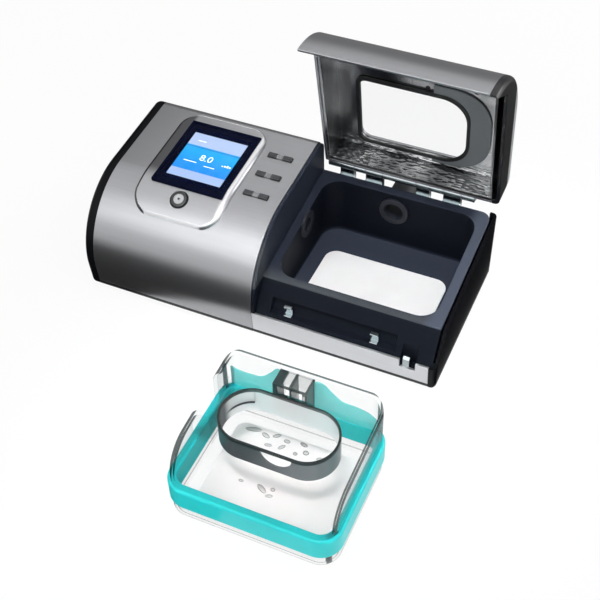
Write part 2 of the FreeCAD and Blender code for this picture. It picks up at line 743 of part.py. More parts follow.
def air_inlet_seal():
    """A flanged rubber bush from the dividing wall into the well."""
    flange = rod("inlet_flange", d.duct_radius + 2.4, (d.well_left, d.port_along, d.port_height), 2.0, X_AXIS)
    sleeve = rod("inlet_sleeve", d.duct_radius - 1.1, (-0.8, d.port_along, d.port_height), 11.0, X_AXIS)
    bore = rod("inlet_bore", d.duct_radius - 2.8, (-5.0, d.port_along, d.port_height), 20.0, X_AXIS)
    return cut("air_inlet_seal", join("inlet_solid", flange, sleeve), bore)


def outlet_seal():
    flange = rod("outlet_flange", 12.0, (HOSE_ACROSS, d.well_back - 2.2, HOSE_HEIGHT), 2.2, Y_AXIS)
    sleeve = rod("outlet_sleeve", 9.4, (HOSE_ACROSS, d.well_back - 1, HOSE_HEIGHT),
                 d.tub_back - d.well_back + 1, Y_AXIS)
    bore = rod("outlet_bore", 7.8, (HOSE_ACROSS, 40.0, HOSE_HEIGHT), 40.0, Y_AXIS)
    return cut("outlet_seal", join("outlet_solid", flange, sleeve), bore)


def hose_connector():
    """The 22 mm spigot that the patient hose pushes onto, with a lead-in at its end."""
    flange = rod("hose_flange", 14.0, (HOSE_ACROSS, d.tub_back + 0.1, HOSE_HEIGHT), 2.4, Y_AXIS)
    spigot = rod("hose_spigot", d.hose_radius, (HOSE_ACROSS, d.tub_back + 2, HOSE_HEIGHT), 20.5, Y_AXIS)
    lead_in = taper("hose_lead_in", d.hose_radius, d.hose_radius - 1.0,
                    (HOSE_ACROSS, d.tub_back + 22.5, HOSE_HEIGHT), 1.5, Y_AXIS)
    bore = rod("hose_bore", d.hose_radius - 2.0, (HOSE_ACROSS, 60.0, HOSE_HEIGHT), 40.0, Y_AXIS)
    return cut("hose_connector", join("hose_solid", flange, spigot, lead_in), bore)


piece(humidifier_tub(), "humidifier_tub")
piece(base_trim(), "base_trim")
piece(latch_hook(), "latch_hook")
piece(latch_catches(), "latch_catches")
piece(right_end_cap(), "right_end_cap")
piece(heater_plate(), "heater_plate")
piece(heater_element(), "heater_element")
piece(heater_insulation(), "heater_insulation")
piece(air_inlet_seal(), "air_inlet_seal")
piece(outlet_seal(), "outlet_seal")
piece(hose_connector(), "hose_connector")

# ---------------------------------------------------------------- hinge
LID_BARRELS = ((5.0, 14.5), (27.0, 36.0), (51.0, 78.0), (90.0, 100.0), (115.0, 125.0))
FIXED_BARRELS = ((15.0, 26.5), (36.5, 50.5), (78.5, 89.5), (100.5, 114.5))


def hinge_brackets():
    brackets = []
    for index, (left, right) in enumerate(FIXED_BARRELS):
        foot = block(f"bracket_foot_{index}", (left, right), (d.tub_back + 0.1, d.hinge_back), (54.0, 62.5))
        arm = block(f"bracket_arm_{index}", (left, right), (d.hinge_back - 3, d.hinge_back + 2.5),
                    (54.0, d.hinge_height))
        barrel = rod(f"bracket_barrel_{index}", d.barrel_radius, (left, *hinge), right - left, X_AXIS)
        bore = rod(f"bracket_bore_{index}", d.pin_radius + 0.05, (left - 1, *hinge), right - left + 2, X_AXIS)
        brackets.append(cut(f"bracket_{index}", join(f"bracket_solid_{index}", foot, arm, barrel), bore))
    return group("hinge_brackets", *brackets)


def hinge_pin():
    return rod("hinge_pin", d.pin_radius, (4.0, *hinge), 122.0, X_AXIS)


piece(hinge_brackets(), "hinge_brackets")
piece(hinge_pin(), "hinge_pin")


# ---------------------------------------------------------------- lid, modelled closed about its hinge
def opened(item):
    """Stand a lid piece open: its own frame has the hinge as origin."""
    place(item, 0.0, *hinge, Rotation(X_AXIS, -d.open_angle.value))
    bind(item, "Placement.Rotation.Angle", -d.open_angle)
    return item


def lid_cutter(name, start, end, lift, lip_bottom):
    """Everything below the rim and behind the slanted front of the tub; the lip stops at its bottom."""
    gap = d.joint_gap + lift
    slant = (d.rim_front - d.nose_front - d.wall) / (d.rim_height - d.strip_top)
    lip_back = d.nose_front + d.wall - gap + (lip_bottom - d.strip_top) * slant
    points = [(as_size(-100.0), as_size(0.0)), (as_size(-100.0), lip_bottom + gap),
              (lip_back, lip_bottom + gap), (d.rim_front - gap, d.rim_height + gap),
              (d.back_face + 12, rim_at(d.back_face + 12, gap)), (d.back_face + 12, as_size(0.0))]
    local = [(u - d.hinge_back, v - d.hinge_height) for u, v in points]
    return Outline(name, "YZ").polygon(local).pad(start, end)


def window_prism(name, grow, start, end, radius):
    """The window's outline, grown outward all round, as a pad through the closed lid."""
    return plan(
        name, (d.window_left - grow, d.window_right + grow),
        (d.window_front - grow - d.hinge_back, d.window_back + grow - d.hinge_back),
        (start, end), radius)


def lid_section(name, start, end, inset):
    return section(name, start, end, inset, as_size(10.0), hinge)


def lid_shell():
    outer = lid_section("lid_outer", d.lid_left, d.lid_right, 0.0)
    inner = lid_section("lid_inner", d.lid_left + d.wall, d.lid_right + 1, d.wall)
    window = window_prism("lid_window_hole", 0.0, 0.0, 40.0, 8.0)
    shell = cut("lid_shell", outer, inner, lid_cutter("lid_cutter", -5.0, 150.0, 0.0, d.strip_top), window)
    return opened(shell)


def lid_end_cap():
    outer = lid_section("lid_cap_outer", d.lid_right + 0.1, d.end_right, 0.0)
    rounded(outer, 4.0, lambda point: near(point.x, d.end_right))
    inner = lid_section("lid_cap_inner", d.lid_right - 1, d.end_right - d.wall, d.wall + 2.0)
    cutter = lid_cutter("lid_cap_cutter", 130.0, 150.0, 0.0, d.strip_top)
    return opened(cut("lid_end_cap", outer, inner, cutter))


def lid_liner():
    """The dark inner lining: a second skin inside the shell, with its own side walls."""
    left, right = d.lid_left + d.wall + 0.2, d.lid_right - 0.2
    outer = lid_section("liner_outer", left, right, d.liner_inset)
    inner = lid_section("liner_inner", left + 2, right - 2, d.liner_inset + 1.8)
    window = window_prism("liner_window_hole", -1.0, 0.0, 40.0, 8.0)
    liner = cut("lid_liner", outer, inner, lid_cutter("liner_cutter", -5.0, 150.0, 0.3, d.rim_height - 8), window)
    return opened(liner)


def lid_window():
    """The clear pane, held between the shell and the liner."""
    face = lid_section("pane_face", d.window_left - 5, d.window_right + 5, d.wall + 0.1)
    back = lid_section("pane_back", d.window_left - 6, d.window_right + 6, d.liner_inset - 0.1)
    blank = window_prism("pane_blank", 4.0, 0.0, 40.0, 10.0)
    return opened(overlap("lid_window", cut("pane_skin", face, back), blank))


def lid_hinge_barrels():
    barrels = []
    for index, (left, right) in enumerate(LID_BARRELS):
        origin_y = as_size(0.0)
        barrel = rod(f"lid_barrel_{index}", d.barrel_radius, (left, origin_y, origin_y), right - left, X_AXIS)
        leaf = block(f"lid_leaf_{index}", (left, right), (d.back_face + 0.1 - d.hinge_back, as_size(0.0)),
                     (-2.4, 2.4))
        plate = block(f"lid_leaf_plate_{index}", (left, right),
                      (d.back_face + 0.1 - d.hinge_back, d.back_face + 1.4 - d.hinge_back), (-2.4, 9.0))
        bore = rod(f"lid_bore_{index}", d.pin_radius + 0.35, (left - 1, origin_y, origin_y),
                   right - left + 2, X_AXIS)
        barrels.append(cut(f"lid_knuckle_{index}", join(f"lid_knuckle_solid_{index}", barrel, leaf, plate), bore))
    return opened(group("lid_hinge_barrels", *barrels))


def lid_latch_hooks():
    """Two small hooks that follow the inside of the lip and reach over the spring clips."""
    outline = [(-70.0, 28.0), (-62.4, 28.0), (-61.5, 30.0), (-61.5, 32.0), (-62.3, 34.2), (-61.0, 41.0), (-70.0, 41.0)]
    local = [(u - d.hinge_back, v - d.hinge_height) for u, v in outline]
    hooks = []
    for index, x in enumerate(CATCH_PLACES):
        leg = Outline(f"lid_hook_leg_{index}", "YZ").polygon(local).pad(x - 3.5, x + 3.5)
        room = lid_section(f"lid_hook_room_{index}", as_size(x - 5), as_size(x + 5), d.wall)
        hooks.append(overlap(f"lid_hook_{index}", leg, room))
    return opened(group("lid_latch_hooks", *hooks))


piece(lid_shell(), "lid_shell")
piece(lid_end_cap(), "lid_end_cap")
piece(lid_liner(), "lid_liner")
piece(lid_window(), "lid_window")
piece(lid_hinge_barrels(), "lid_hinge_barrels")
piece(lid_latch_hooks(), "lid_latch_hooks")


# ---------------------------------------------------------------- water chamber
def span_about(middle, length, depth):
    """X and Y limits of a rectangle about a middle."""
    half_x, half_y = as_size(length) / 2, as_size(depth) / 2
    return (middle[0] - half_x, middle[0] + half_x), (middle[1] - half_y, middle[1] + half_y)


def pot_span(length, depth):
    """X and Y limits of a rectangle about the chamber's middle."""
    return span_about((d.pot_across, d.pot_along), length, depth)


TUB_INSET = 1.5
TUB_WALL = 2.0


def chamber_tub():
    inset, room = TUB_INSET * 2, (TUB_INSET + TUB_WALL) * 2
    outer = plan("pot_outer", *pot_span(d.ring_length - inset, d.ring_depth - inset),
                 (table, d.ring_bottom - 0.1), d.ring_round - TUB_INSET)
    rounded(outer, 4.0, lambda point: near(point.z, table))
    inner = plan("pot_inner", *pot_span(d.ring_length - room, d.ring_depth - room),
                 (2.0, 40.0), d.ring_round - TUB_INSET - TUB_WALL)
    opening = plan("pot_opening", *pot_span(88.0, 68.0), (-1.0, 5.0), 8.0)
    return cut("chamber_tub", outer, inner, opening)


def chamber_base_plate():
    disc = plan("pot_plate", *pot_span(94.0, 74.0), (2.1, 3.3), 8.0)
    boss = plan("pot_plate_boss", *pot_span(87.4, 67.4), (0.3, 2.5), 7.7)
    return join("chamber_base_plate", disc, boss)


def chamber_seal():
    """The silicone ring between tub and cover, with a lip that hugs the cover's flange."""
    outer = plan("seal_outer", *pot_span(d.ring_length, d.ring_depth), (d.ring_bottom, d.ring_top), d.ring_round)
    rounded(outer, 2.0, lambda point: near(point.z, d.ring_top))
    inner = plan("seal_inner", *pot_span(d.ring_length - d.ring_width * 2, d.ring_depth - d.ring_width * 2),
                 (0.0, 40.0), d.ring_round - d.ring_width)
    return cut("chamber_seal", outer, inner)


COVER_INSET = 2.5
COVER_ROUND = 12.0
SCOOP_Y = (-188.0, -156.0)
SCOOP_DEPTH = 13.0
TUNNEL_X = (57.0, 82.0)
TUNNEL_WALL = 1.8
TUNNEL_FRONT = -150.0

cover_back = d.pot_along + d.ring_depth / 2 - COVER_INSET
cover_front = d.pot_along - d.ring_depth / 2 + COVER_INSET
nose_middle = cover_front + d.cover_nose


def roof_at(along, inset):
    """Height of the cover's sloping roof, moved inward by an inset."""
    return d.cover_top - (cover_back - along) * tangent(d.cover_slope) - inset / cosine(d.cover_slope)


def cover_form(name, inset, floor):
    """The cover's body: a curved nose and a sloping roof, its side edges rounded."""
    inset = as_size(inset)
    left = d.pot_across - d.ring_length / 2 + COVER_INSET + inset
    right = d.pot_across + d.ring_length / 2 - COVER_INSET - inset
    front = cover_front + inset
    back = cover_back - inset
    radius = d.cover_nose - inset
    centre = (nose_middle, roof_at(nose_middle, d.cover_nose))
    crest_along = nose_middle - radius * sine(d.cover_slope)
    crest = (crest_along, roof_at(crest_along, inset))
    heel = (back, roof_at(back, inset))
    tip = (front, centre[1])

    outline = Outline(name, "YZ")
    floor_line = outline.line((front, floor), (back, floor))
    back_line = outline.line((back, floor), heel)
    roof_line = outline.line(heel, crest)
    nose = outline.arc(centre, radius, 90.0 + d.cover_slope.value, 180.0)
    front_line = outline.line(tip, (front, floor))
    edges = (floor_line, back_line, roof_line, nose, front_line)
    for first, second in zip(edges, edges[1:] + edges[:1]):
        outline.link(first, second)
    outline.pin(floor_line, 1, front, floor)
    outline.pin(back_line, 1, back, floor)
    outline.pin(roof_line, 1, *heel)
    outline.pin(roof_line, 2, u=crest[0])
    outline.pin(nose, 2, v=tip[1])
    body = outline.pad(left, right)

    doc.recompute()
    base = body.Tip
    names = []
    for index, edge in enumerate(base.Shape.Edges, start=1):
        ends = [vertex.Point for vertex in edge.Vertexes]
        on_side = all(near(point.x, left) for point in ends) or all(near(point.x, right) for point in ends)
        on_floor = all(near(point.z, floor) for point in ends)
        if on_side and not on_floor:
            names.append(f"Edge{index}")
    fillet = body.newObject("PartDesign::Fillet", f"{name}_edges")
    fillet.Base = (base, names)
    bind(fillet, "Radius", COVER_ROUND - inset)
    body.Tip = fillet
    return body


def chamber_cover():
    flange = plan("cover_flange", *pot_span(d.ring_length - 4, d.ring_depth - 4),
                  (d.ring_top + 0.1, d.ring_top + 2.4), d.ring_round - 2)
    outer = cover_form("cover_outer", 0.0, d.ring_top + 0.1)
    inner = cover_form("cover_inner", d.cover_wall, as_size(10.0))
    left = d.pot_across - d.ring_length / 2
    scoop_right = left + COVER_INSET + SCOOP_DEPTH
    scoop = block("cover_scoop", (left, scoop_right), SCOOP_Y, (d.ring_top + 2.4, d.cover_top + 5))
    scoop_wall = block(
        "cover_scoop_wall", (left, scoop_right + d.cover_wall),
        (SCOOP_Y[0] - d.cover_wall, SCOOP_Y[1] + d.cover_wall), (as_size(0.0), d.cover_top + 5))
    room = cut("cover_room", inner, scoop_wall)
    shell = cut("cover_shell", cut("cover_scooped", join("cover_solid", outer, flange), scoop), room)
    inlet = rod("cover_inlet", 6.0, (left - 1, (SCOOP_Y[0] + SCOOP_Y[1]) / 2, 41.0), 40.0, X_AXIS)
    outlet = block("cover_outlet", (TUNNEL_X[0] + 2, TUNNEL_X[1] - 2), (cover_back - 4, cover_back + 10),
                   (d.ring_top + 5.3, d.ring_top + 17))
    return cut("chamber_cover", shell, inlet, outlet)


def baffle_ring():
    """An open oval skirt that hangs from the inside of the cover's roof, with a half-round hole."""
    roof = roof_at(d.baffle_along, d.cover_wall + 0.1)
    middle = (d.baffle_across, d.baffle_along)
    thick = 1.6
    low = roof - d.baffle_drop
    outer = plan("baffle_outer", *span_about(middle, d.baffle_length, d.baffle_width),
                 (low, d.cover_top), d.baffle_width / 2 - 0.1)
    inner_span = span_about(middle, d.baffle_length - thick * 2, d.baffle_width - thick * 2)
    inner = plan("baffle_inner", *inner_span, (low - 1, d.cover_top + 1), d.baffle_width / 2 - 0.1 - thick)
    hole_top = roof - 3.6
    hole = rod("baffle_hole_round", 11.0, (82.0, d.baffle_along - d.baffle_width, hole_top), 40.0, Y_AXIS)
    lower_half = block("baffle_hole_half", (60.0, 104.0), (d.baffle_along - 60, d.baffle_along + 60),
                       (hole_top - 20, hole_top))
    skirt = cut("baffle_skirt", outer, inner, overlap("baffle_hole", hole, lower_half))
    return overlap("baffle_ring", skirt, cover_form("baffle_room", d.cover_wall + 0.1, as_size(10.0)))


def outlet_duct():
    """A box inside the back of the cover: air enters high at its front and leaves low at its back."""
    roof = roof_at(as_size(TUNNEL_FRONT), d.cover_wall + 0.1)
    back = cover_back - d.cover_wall - 0.1
    low = d.ring_top + 3.5
    left, right = TUNNEL_X
    tube = block("tunnel_outer", TUNNEL_X, (TUNNEL_FRONT, back), (low, roof))
    room = block("tunnel_inner", (left + TUNNEL_WALL, right - TUNNEL_WALL),
                 (TUNNEL_FRONT + TUNNEL_WALL, back + 5), (low + TUNNEL_WALL, roof - TUNNEL_WALL))
    mouth = block("tunnel_mouth", (left + 3.5, right - 3.5), (TUNNEL_FRONT - 5, TUNNEL_FRONT + 3),
                  (roof - 12.0, roof - TUNNEL_WALL))
    middle = (left + right) / 2
    rib = block("tunnel_rib", (middle - 0.7, middle + 0.7), (TUNNEL_FRONT + 1, back - 0.5), (low + 1, roof - 1))
    return join("outlet_duct", cut("tunnel", tube, room, mouth), rib)


piece(chamber_tub(), "chamber_tub")
piece(chamber_base_plate(), "chamber_base_plate")
piece(chamber_seal(), "chamber_seal")
piece(chamber_cover(), "chamber_cover")
piece(baffle_ring(), "baffle_ring")
piece(outlet_duct(), "outlet_duct")

# ---------------------------------------------------------------- blower and air path
BLADE_COUNT = 11
fan_middle = (d.fan_across, d.fan_along)


def blower_lower():
    drum = rod("blower_drum", d.volute_radius, (*fan_middle, d.fan_floor), d.fan_split - d.fan_floor - 0.05)
    pit = rod("blower_pit", d.volute_radius - 2, (*fan_middle, d.fan_floor + 2), 40.0)
    return cut("blower_lower_housing", drum, pit)


def blower_upper():
    """The volute half: a drum with the inlet in its roof and a tangential outlet."""
    roof = d.fan_roof - 2
    drum = rod("volute_drum", d.volute_radius, (*fan_middle, d.fan_split + 0.05), d.fan_roof - d.fan_split - 0.05)
    room = rod("volute_room", d.volute_radius - 2, (*fan_middle, d.fan_split - 1), roof - d.fan_split + 1)
    edge = d.fan_along + d.volute_radius
    spout = block("volute_spout", (d.fan_across, d.fan_across + 38), (edge - 17, edge), (d.fan_split + 0.05, d.fan_roof))
    bore = block("volute_bore", (d.fan_across, d.fan_across + 40), (edge - 15, edge - 2), (d.fan_split + 2, roof))
    eye = rod("volute_eye", 11.0, (*fan_middle, roof - 1), 5.0)
    return cut("blower_upper_housing", join("volute_solid", drum, spout), room, bore, eye)


def blower_motor():
    can = rod("motor_can", 15.0, (*fan_middle, d.fan_floor + 2.1), 13.0)
    nose = rod("motor_nose", 5.0, (*fan_middle, d.fan_floor + 15), 2.0)
    bore = rod("motor_bore", 1.8, (*fan_middle, d.fan_floor + 5), 20.0)
    return cut("blower_motor", join("motor_solid", can, nose), bore)


def impeller():
    """A backward-curved wheel: a disc, a hub and a polar pattern of curved blades."""
    floor = d.fan_split + 0.8
    wheel = doc.addObject("PartDesign::Body", "impeller")
    planes = wheel.Origin.OriginFeatures
    level = next(item for item in planes if item.Role == "XY_Plane")
    upright = next(item for item in planes if item.Role == "Z_Axis")

    def sketch_on_level(name, height):
        sketch = wheel.newObject("Sketcher::SketchObject", name)
        sketch.AttachmentSupport = [(level, "")]
        sketch.MapMode = "FlatFace"
        bind(sketch, "AttachmentOffset.Base.z", height)
        return sketch

    def add_circle(sketch, radius):
        edge = sketch.addGeometry(Part.Circle(Vector(0, 0, 0), Z_AXIS, as_size(radius).value), False)
        sketch.addConstraint(Sketcher.Constraint("Coincident", edge, 3, -1, 1))
        index = sketch.addConstraint(Sketcher.Constraint("Radius", edge, as_size(radius).value))
        sketch.setExpression(f"Constraints[{index}]", as_size(radius).text)

    def pad_of(sketch, name, length):
        pad = wheel.newObject("PartDesign::Pad", name)
        pad.Profile = sketch
        bind(pad, "Length", length)
        doc.recompute()
        return pad

    disc_sketch = sketch_on_level("wheel_disc_sketch", as_size(0.0))
    add_circle(disc_sketch, d.fan_radius)
    pad_of(disc_sketch, "wheel_disc", as_size(1.2))
    hub_sketch = sketch_on_level("wheel_hub_sketch", as_size(1.0))
    add_circle(hub_sketch, as_size(5.0))
    pad_of(hub_sketch, "wheel_hub", as_size(8.0))

    blade_sketch = sketch_on_level("wheel_blade_sketch", as_size(1.0))
    sweep, thick = 15.0, 1.2
    centre = Vector(13.5, -14.0, 0)
    first, last = math.radians(72.0), math.radians(128.0)
    inner_circle = Part.Circle(centre, Z_AXIS, sweep)
    outer_circle = Part.Circle(centre, Z_AXIS, sweep + thick)
    edges = [Part.ArcOfCircle(inner_circle, first, last), Part.ArcOfCircle(outer_circle, first, last)]
    inner_ends = [edges[0].StartPoint, edges[0].EndPoint]
    outer_ends = [edges[1].StartPoint, edges[1].EndPoint]
    edges += [Part.LineSegment(inner_ends[1], outer_ends[1]), Part.LineSegment(outer_ends[0], inner_ends[0])]
    for edge in edges:
        blade_sketch.addGeometry(edge, False)
    for ends in ((0, 2, 2, 1), (2, 2, 1, 2), (1, 1, 3, 1), (3, 2, 0, 1)):
        blade_sketch.addConstraint(Sketcher.Constraint("Coincident", *ends))
    blade_sketch.addConstraint(Sketcher.Constraint("Block", 0))
    blade_sketch.addConstraint(Sketcher.Constraint("Block", 1))
    blade = pad_of(blade_sketch, "wheel_blade", as_size(9.5))
    pattern = wheel.newObject("PartDesign::PolarPattern", "wheel_blades")
    pattern.Originals = [blade]
    pattern.Axis = (upright, [""])
    pattern.Angle = 360
    pattern.Occurrences = BLADE_COUNT
    wheel.Tip = pattern
    doc.recompute()

    bore_sketch = sketch_on_level("wheel_bore_sketch", as_size(0.0))
    add_circle(bore_sketch, as_size(1.55))
    bore = wheel.newObject("PartDesign::Pocket", "wheel_bore")
    bore.Profile = bore_sketch
    bore.Type = "Length"
    bore.Length = 20.0
    bore.Reversed = True
    wheel.Tip = bore
    place(wheel, *fan_middle, floor)
    return wheel


def impeller_shaft():
    return rod("impeller_shaft", 1.5, (*fan_middle, d.fan_floor + 6), 30.0 - 5.0)


def blower_mounts():
    """Four rubber grommets between the blower and the base."""
    mounts = []
    for index in range(4):
        angle = math.radians(45.0 + 90.0 * index)
        x = d.fan_across + 22.0 * math.cos(angle)
        y = d.fan_along + 22.0 * math.sin(angle)
        mounts.append(rod(f"mount_{index}", 4.5, (x, y, pan_top + 2.7), d.fan_floor - pan_top - 2.8))
    return group("blower_mounts", *mounts)


def delivery_duct():
    """A bent tube that lifts the air from the volute to the port of the well."""
    start = d.fan_across + 38.2
    edge = d.fan_along + d.volute_radius
    stations = (
        (start, edge - 8.5, (d.fan_split + d.fan_roof) / 2 + 0.5),
        (start + 14, edge - 10.0, (d.fan_split + d.fan_roof) / 2 + 1.5),
        (d.split - 16, d.port_along + 2, d.port_height - 1),
        (d.split - 0.3, d.port_along, d.port_height),
    )
    forms = []
    for name, radius in (("duct_outer", d.duct_radius - 0.4), ("duct_bore", d.duct_radius - 2.2)):
        body = doc.addObject("PartDesign::Body", name)
        level = next(item for item in body.Origin.OriginFeatures if item.Role == "YZ_Plane")
        rings = []
        for index, (x, y, z) in enumerate(stations):
            ring = body.newObject("Sketcher::SketchObject", f"{name}_ring_{index}")
            ring.AttachmentSupport = [(level, "")]
            ring.MapMode = "FlatFace"
            bind(ring, "AttachmentOffset.Base.z", x)
            middle = Vector(y.value, z.value, 0)
            edge_id = ring.addGeometry(Part.Circle(middle, Z_AXIS, radius.value), False)
            for kind, where, size in (
                ("DistanceX", (-1, 1, edge_id, 3), y),
                ("DistanceY", (-1, 1, edge_id, 3), z),
                ("Radius", (edge_id,), radius),
            ):
                number_of = ring.addConstraint(Sketcher.Constraint(kind, *where, size.value))
                ring.setExpression(f"Constraints[{number_of}]", size.text)
            rings.append(ring)
        loft = body.newObject("PartDesign::AdditiveLoft", f"{name}_loft")
        loft.Profile = rings[0]
        loft.Sections = rings[1:]
        forms.append(body)
    return cut("delivery_duct", *forms)


def inlet_muffler():
    """The foam-lined box between the filter and the blower's eye."""
    return block("inlet_muffler", (-128.0, -72.0), (49.0, 60.0), (BOSS_TOP + 0.2, 66.0))


def air_filter():
    return block("air_filter", (-123.5, -92.5), (60.3, 65.2), (24.5, 55.5))


def filter_cover():
    """The grille over the filter; it pulls straight off the back."""
    plate = block("filter_plate", (-127.0, -89.0), (d.back_face + 0.1, d.back_face + 2.6), (21.0, 59.0))
    plug = block("filter_plug", (-123.7, -92.3), (d.back_face - 2.3, d.back_face + 0.2), (24.3, 55.7))
    room = block("filter_room", (-121.5, -94.5), (d.back_face - 5, d.back_face - 0.2), (26.5, 53.5))
    slots = [
        block(f"filter_slot_{index}", (-120.0, -96.0), (60.0, 80.0), (z, z + 2.6))
        for index, z in enumerate(28.0 + 5.0 * step for step in range(5))
    ]
    return cut("filter_cover", join("filter_solid", plate, plug), room, *slots)


def main_board():
    sheet_of_glass_fibre = block("board_sheet", (-112.0, -18.0), (-56.0, -24.0), (BOSS_TOP + 0.1, BOSS_TOP + 1.7))
    parts = [
        block("board_chip", (-80.0, -66.0), (-46.0, -32.0), (BOSS_TOP + 1.6, BOSS_TOP + 3.2)),
        block("board_relay", (-44.0, -30.0), (-50.0, -38.0), (BOSS_TOP + 1.6, BOSS_TOP + 11.0)),
        block("board_socket", (-104.0, -92.0), (-34.0, -28.0), (BOSS_TOP + 1.6, BOSS_TOP + 8.0)),
        rod("board_can_a", 4.0, (-56.0, -44.0, BOSS_TOP + 1.6), 11.0),
        rod("board_can_b", 4.0, (-56.0, -34.0, BOSS_TOP + 1.6), 11.0),
    ]
    return join("main_board", sheet_of_glass_fibre, *parts)


def power_inlet():
    """The low-voltage socket in the back, a barrel with its centre pin."""
    body = block("inlet_body", (-30.0, -18.0), (54.0, 65.4), (14.0, 26.0))
    barrel = rod("inlet_barrel", 5.1, (-24.0, 65.0, 20.0), 2.8, Y_AXIS)
    well = rod("inlet_well", 3.2, (-24.0, 57.0, 20.0), 20.0, Y_AXIS)
    pin = rod("inlet_pin", 1.0, (-24.0, 56.5, 20.0), 9.5, Y_AXIS)
    return join("power_inlet", cut("inlet_shell", join("inlet_block", body, barrel), well), pin)


piece(blower_lower(), "blower_lower_housing")
piece(blower_upper(), "blower_upper_housing")
piece(blower_motor(), "blower_motor")
piece(impeller(), "impeller")
piece(impeller_shaft(), "impeller_shaft")
piece(blower_mounts(), "blower_mounts")
piece(delivery_duct(), "delivery_duct")
piece(inlet_muffler(), "inlet_muffler")
piece(air_filter(), "air_filter")
piece(filter_cover(), "filter_cover")
piece(main_board(), "main_board")
piece(power_inlet(), "power_inlet")

# ---------------------------------------------------------------- build, check, write
doc.recompute()

faults = []
for item in doc.Objects:
    if "Invalid" in item.State or "Error" in item.State:
        faults.append(f"{item.Name}: {item.State}")
for item in pieces:
    if item.Shape.isNull() or not item.Shape.isValid():
        faults.append(f"{item.Label}: shape is null or not valid")
if faults:
    raise RuntimeError("\n".join(faults))

os.makedirs("parts", exist_ok=True)
for item in pieces:
    item.Shape.exportStep(os.path.join("parts", f"{item.Label}.step"))
    box = item.Shape.BoundBox
    print(f"{item.Label}: {len(item.Shape.Solids)} solids, volume {item.Shape.Volume:.0f}, "
          f"x {box.XMin:.1f}..{box.XMax:.1f}, y {box.YMin:.1f}..{box.YMax:.1f}, "
          f"z {box.ZMin:.1f}..{box.ZMax:.1f}")
print(f"{len(pieces)} sub-parts written")
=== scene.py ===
# %% [markdown]
# # A bedside breathing machine, dressed for its portrait
#
# The solids come from a CAD program and never change here.  This lesson gives them what a
# drawing leaves out: softened edges, brushed metal, clear plastic, a lit screen and rubber.
# Every length is in metres.  Right is +X, back is +Y, up is +Z.

import json
import math

import bmesh
import bpy
from mathutils import Matrix, Vector


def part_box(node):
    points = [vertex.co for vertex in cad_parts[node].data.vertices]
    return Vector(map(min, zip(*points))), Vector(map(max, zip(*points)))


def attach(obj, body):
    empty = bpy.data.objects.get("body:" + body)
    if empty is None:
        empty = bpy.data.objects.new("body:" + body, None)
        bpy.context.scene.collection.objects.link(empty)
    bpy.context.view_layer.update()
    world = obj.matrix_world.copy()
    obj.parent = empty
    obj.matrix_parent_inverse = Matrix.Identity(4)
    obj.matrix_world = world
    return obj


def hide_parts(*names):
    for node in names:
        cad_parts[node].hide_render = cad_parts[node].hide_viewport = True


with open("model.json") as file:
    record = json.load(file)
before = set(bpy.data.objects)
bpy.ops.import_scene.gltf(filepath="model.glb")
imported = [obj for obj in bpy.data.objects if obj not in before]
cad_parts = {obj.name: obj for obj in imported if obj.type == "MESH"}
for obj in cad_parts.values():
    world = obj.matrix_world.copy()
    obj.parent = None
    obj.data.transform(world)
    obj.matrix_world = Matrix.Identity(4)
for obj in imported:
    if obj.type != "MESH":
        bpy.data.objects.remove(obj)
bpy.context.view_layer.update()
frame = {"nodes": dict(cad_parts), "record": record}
MM = 0.001
print("solids:", len(frame["nodes"]))

# %% [markdown]
# In Blender a shape, a lamp or a camera is only data until an object shows it and is linked to
# the scene.  One helper does both for every piece of this lesson.

# %% Link an object
def add_object(name, data):
    """An object that shows some data, linked to the scene."""
    made = bpy.data.objects.new(name, data)
    bpy.context.scene.collection.objects.link(made)
    return made


# %% [markdown]
# A camera is a place, a direction and a lens.  These numbers were found once by fitting the
# straight edges of the housing, and they are all the lesson needs: a 67.6 mm lens on a 36 mm
# sensor, looking down by 45.9 degrees from the front right, with a hair of roll.

# %% Place the camera
CAMERA_PLACE = Vector((0.2780, -0.5765, 0.6356))
AZIMUTH, ELEVATION, ROLL = (math.radians(a) for a in (25.0202, 45.8607, -1.4983))
back_axis = Vector((math.sin(AZIMUTH) * math.cos(ELEVATION),
                    -math.cos(AZIMUTH) * math.cos(ELEVATION), math.sin(ELEVATION)))
level_right = Vector((math.cos(AZIMUTH), math.sin(AZIMUTH), 0.0))
level_up = back_axis.cross(level_right)
right_axis = math.cos(ROLL) * level_right + math.sin(ROLL) * level_up
up_axis = math.cos(ROLL) * level_up - math.sin(ROLL) * level_right

camera = add_object("camera", bpy.data.cameras.new("camera"))
camera.data.sensor_width = 36.0
camera.data.lens = 67.63
camera.data.clip_start = 0.01
turn = Matrix((right_axis, up_axis, back_axis)).transposed().to_4x4()
camera.matrix_world = Matrix.Translation(CAMERA_PLACE) @ turn
bpy.context.scene.camera = camera
print("camera looks along", tuple(round(-c, 3) for c in back_axis))

# %% [markdown]
# Materials are sums written in Python.  `Wire` wraps one socket: adding or multiplying two
# wires makes the Math node that does it.  `Finish` holds one material and makes any other
# node from its type, its settings and its inputs.

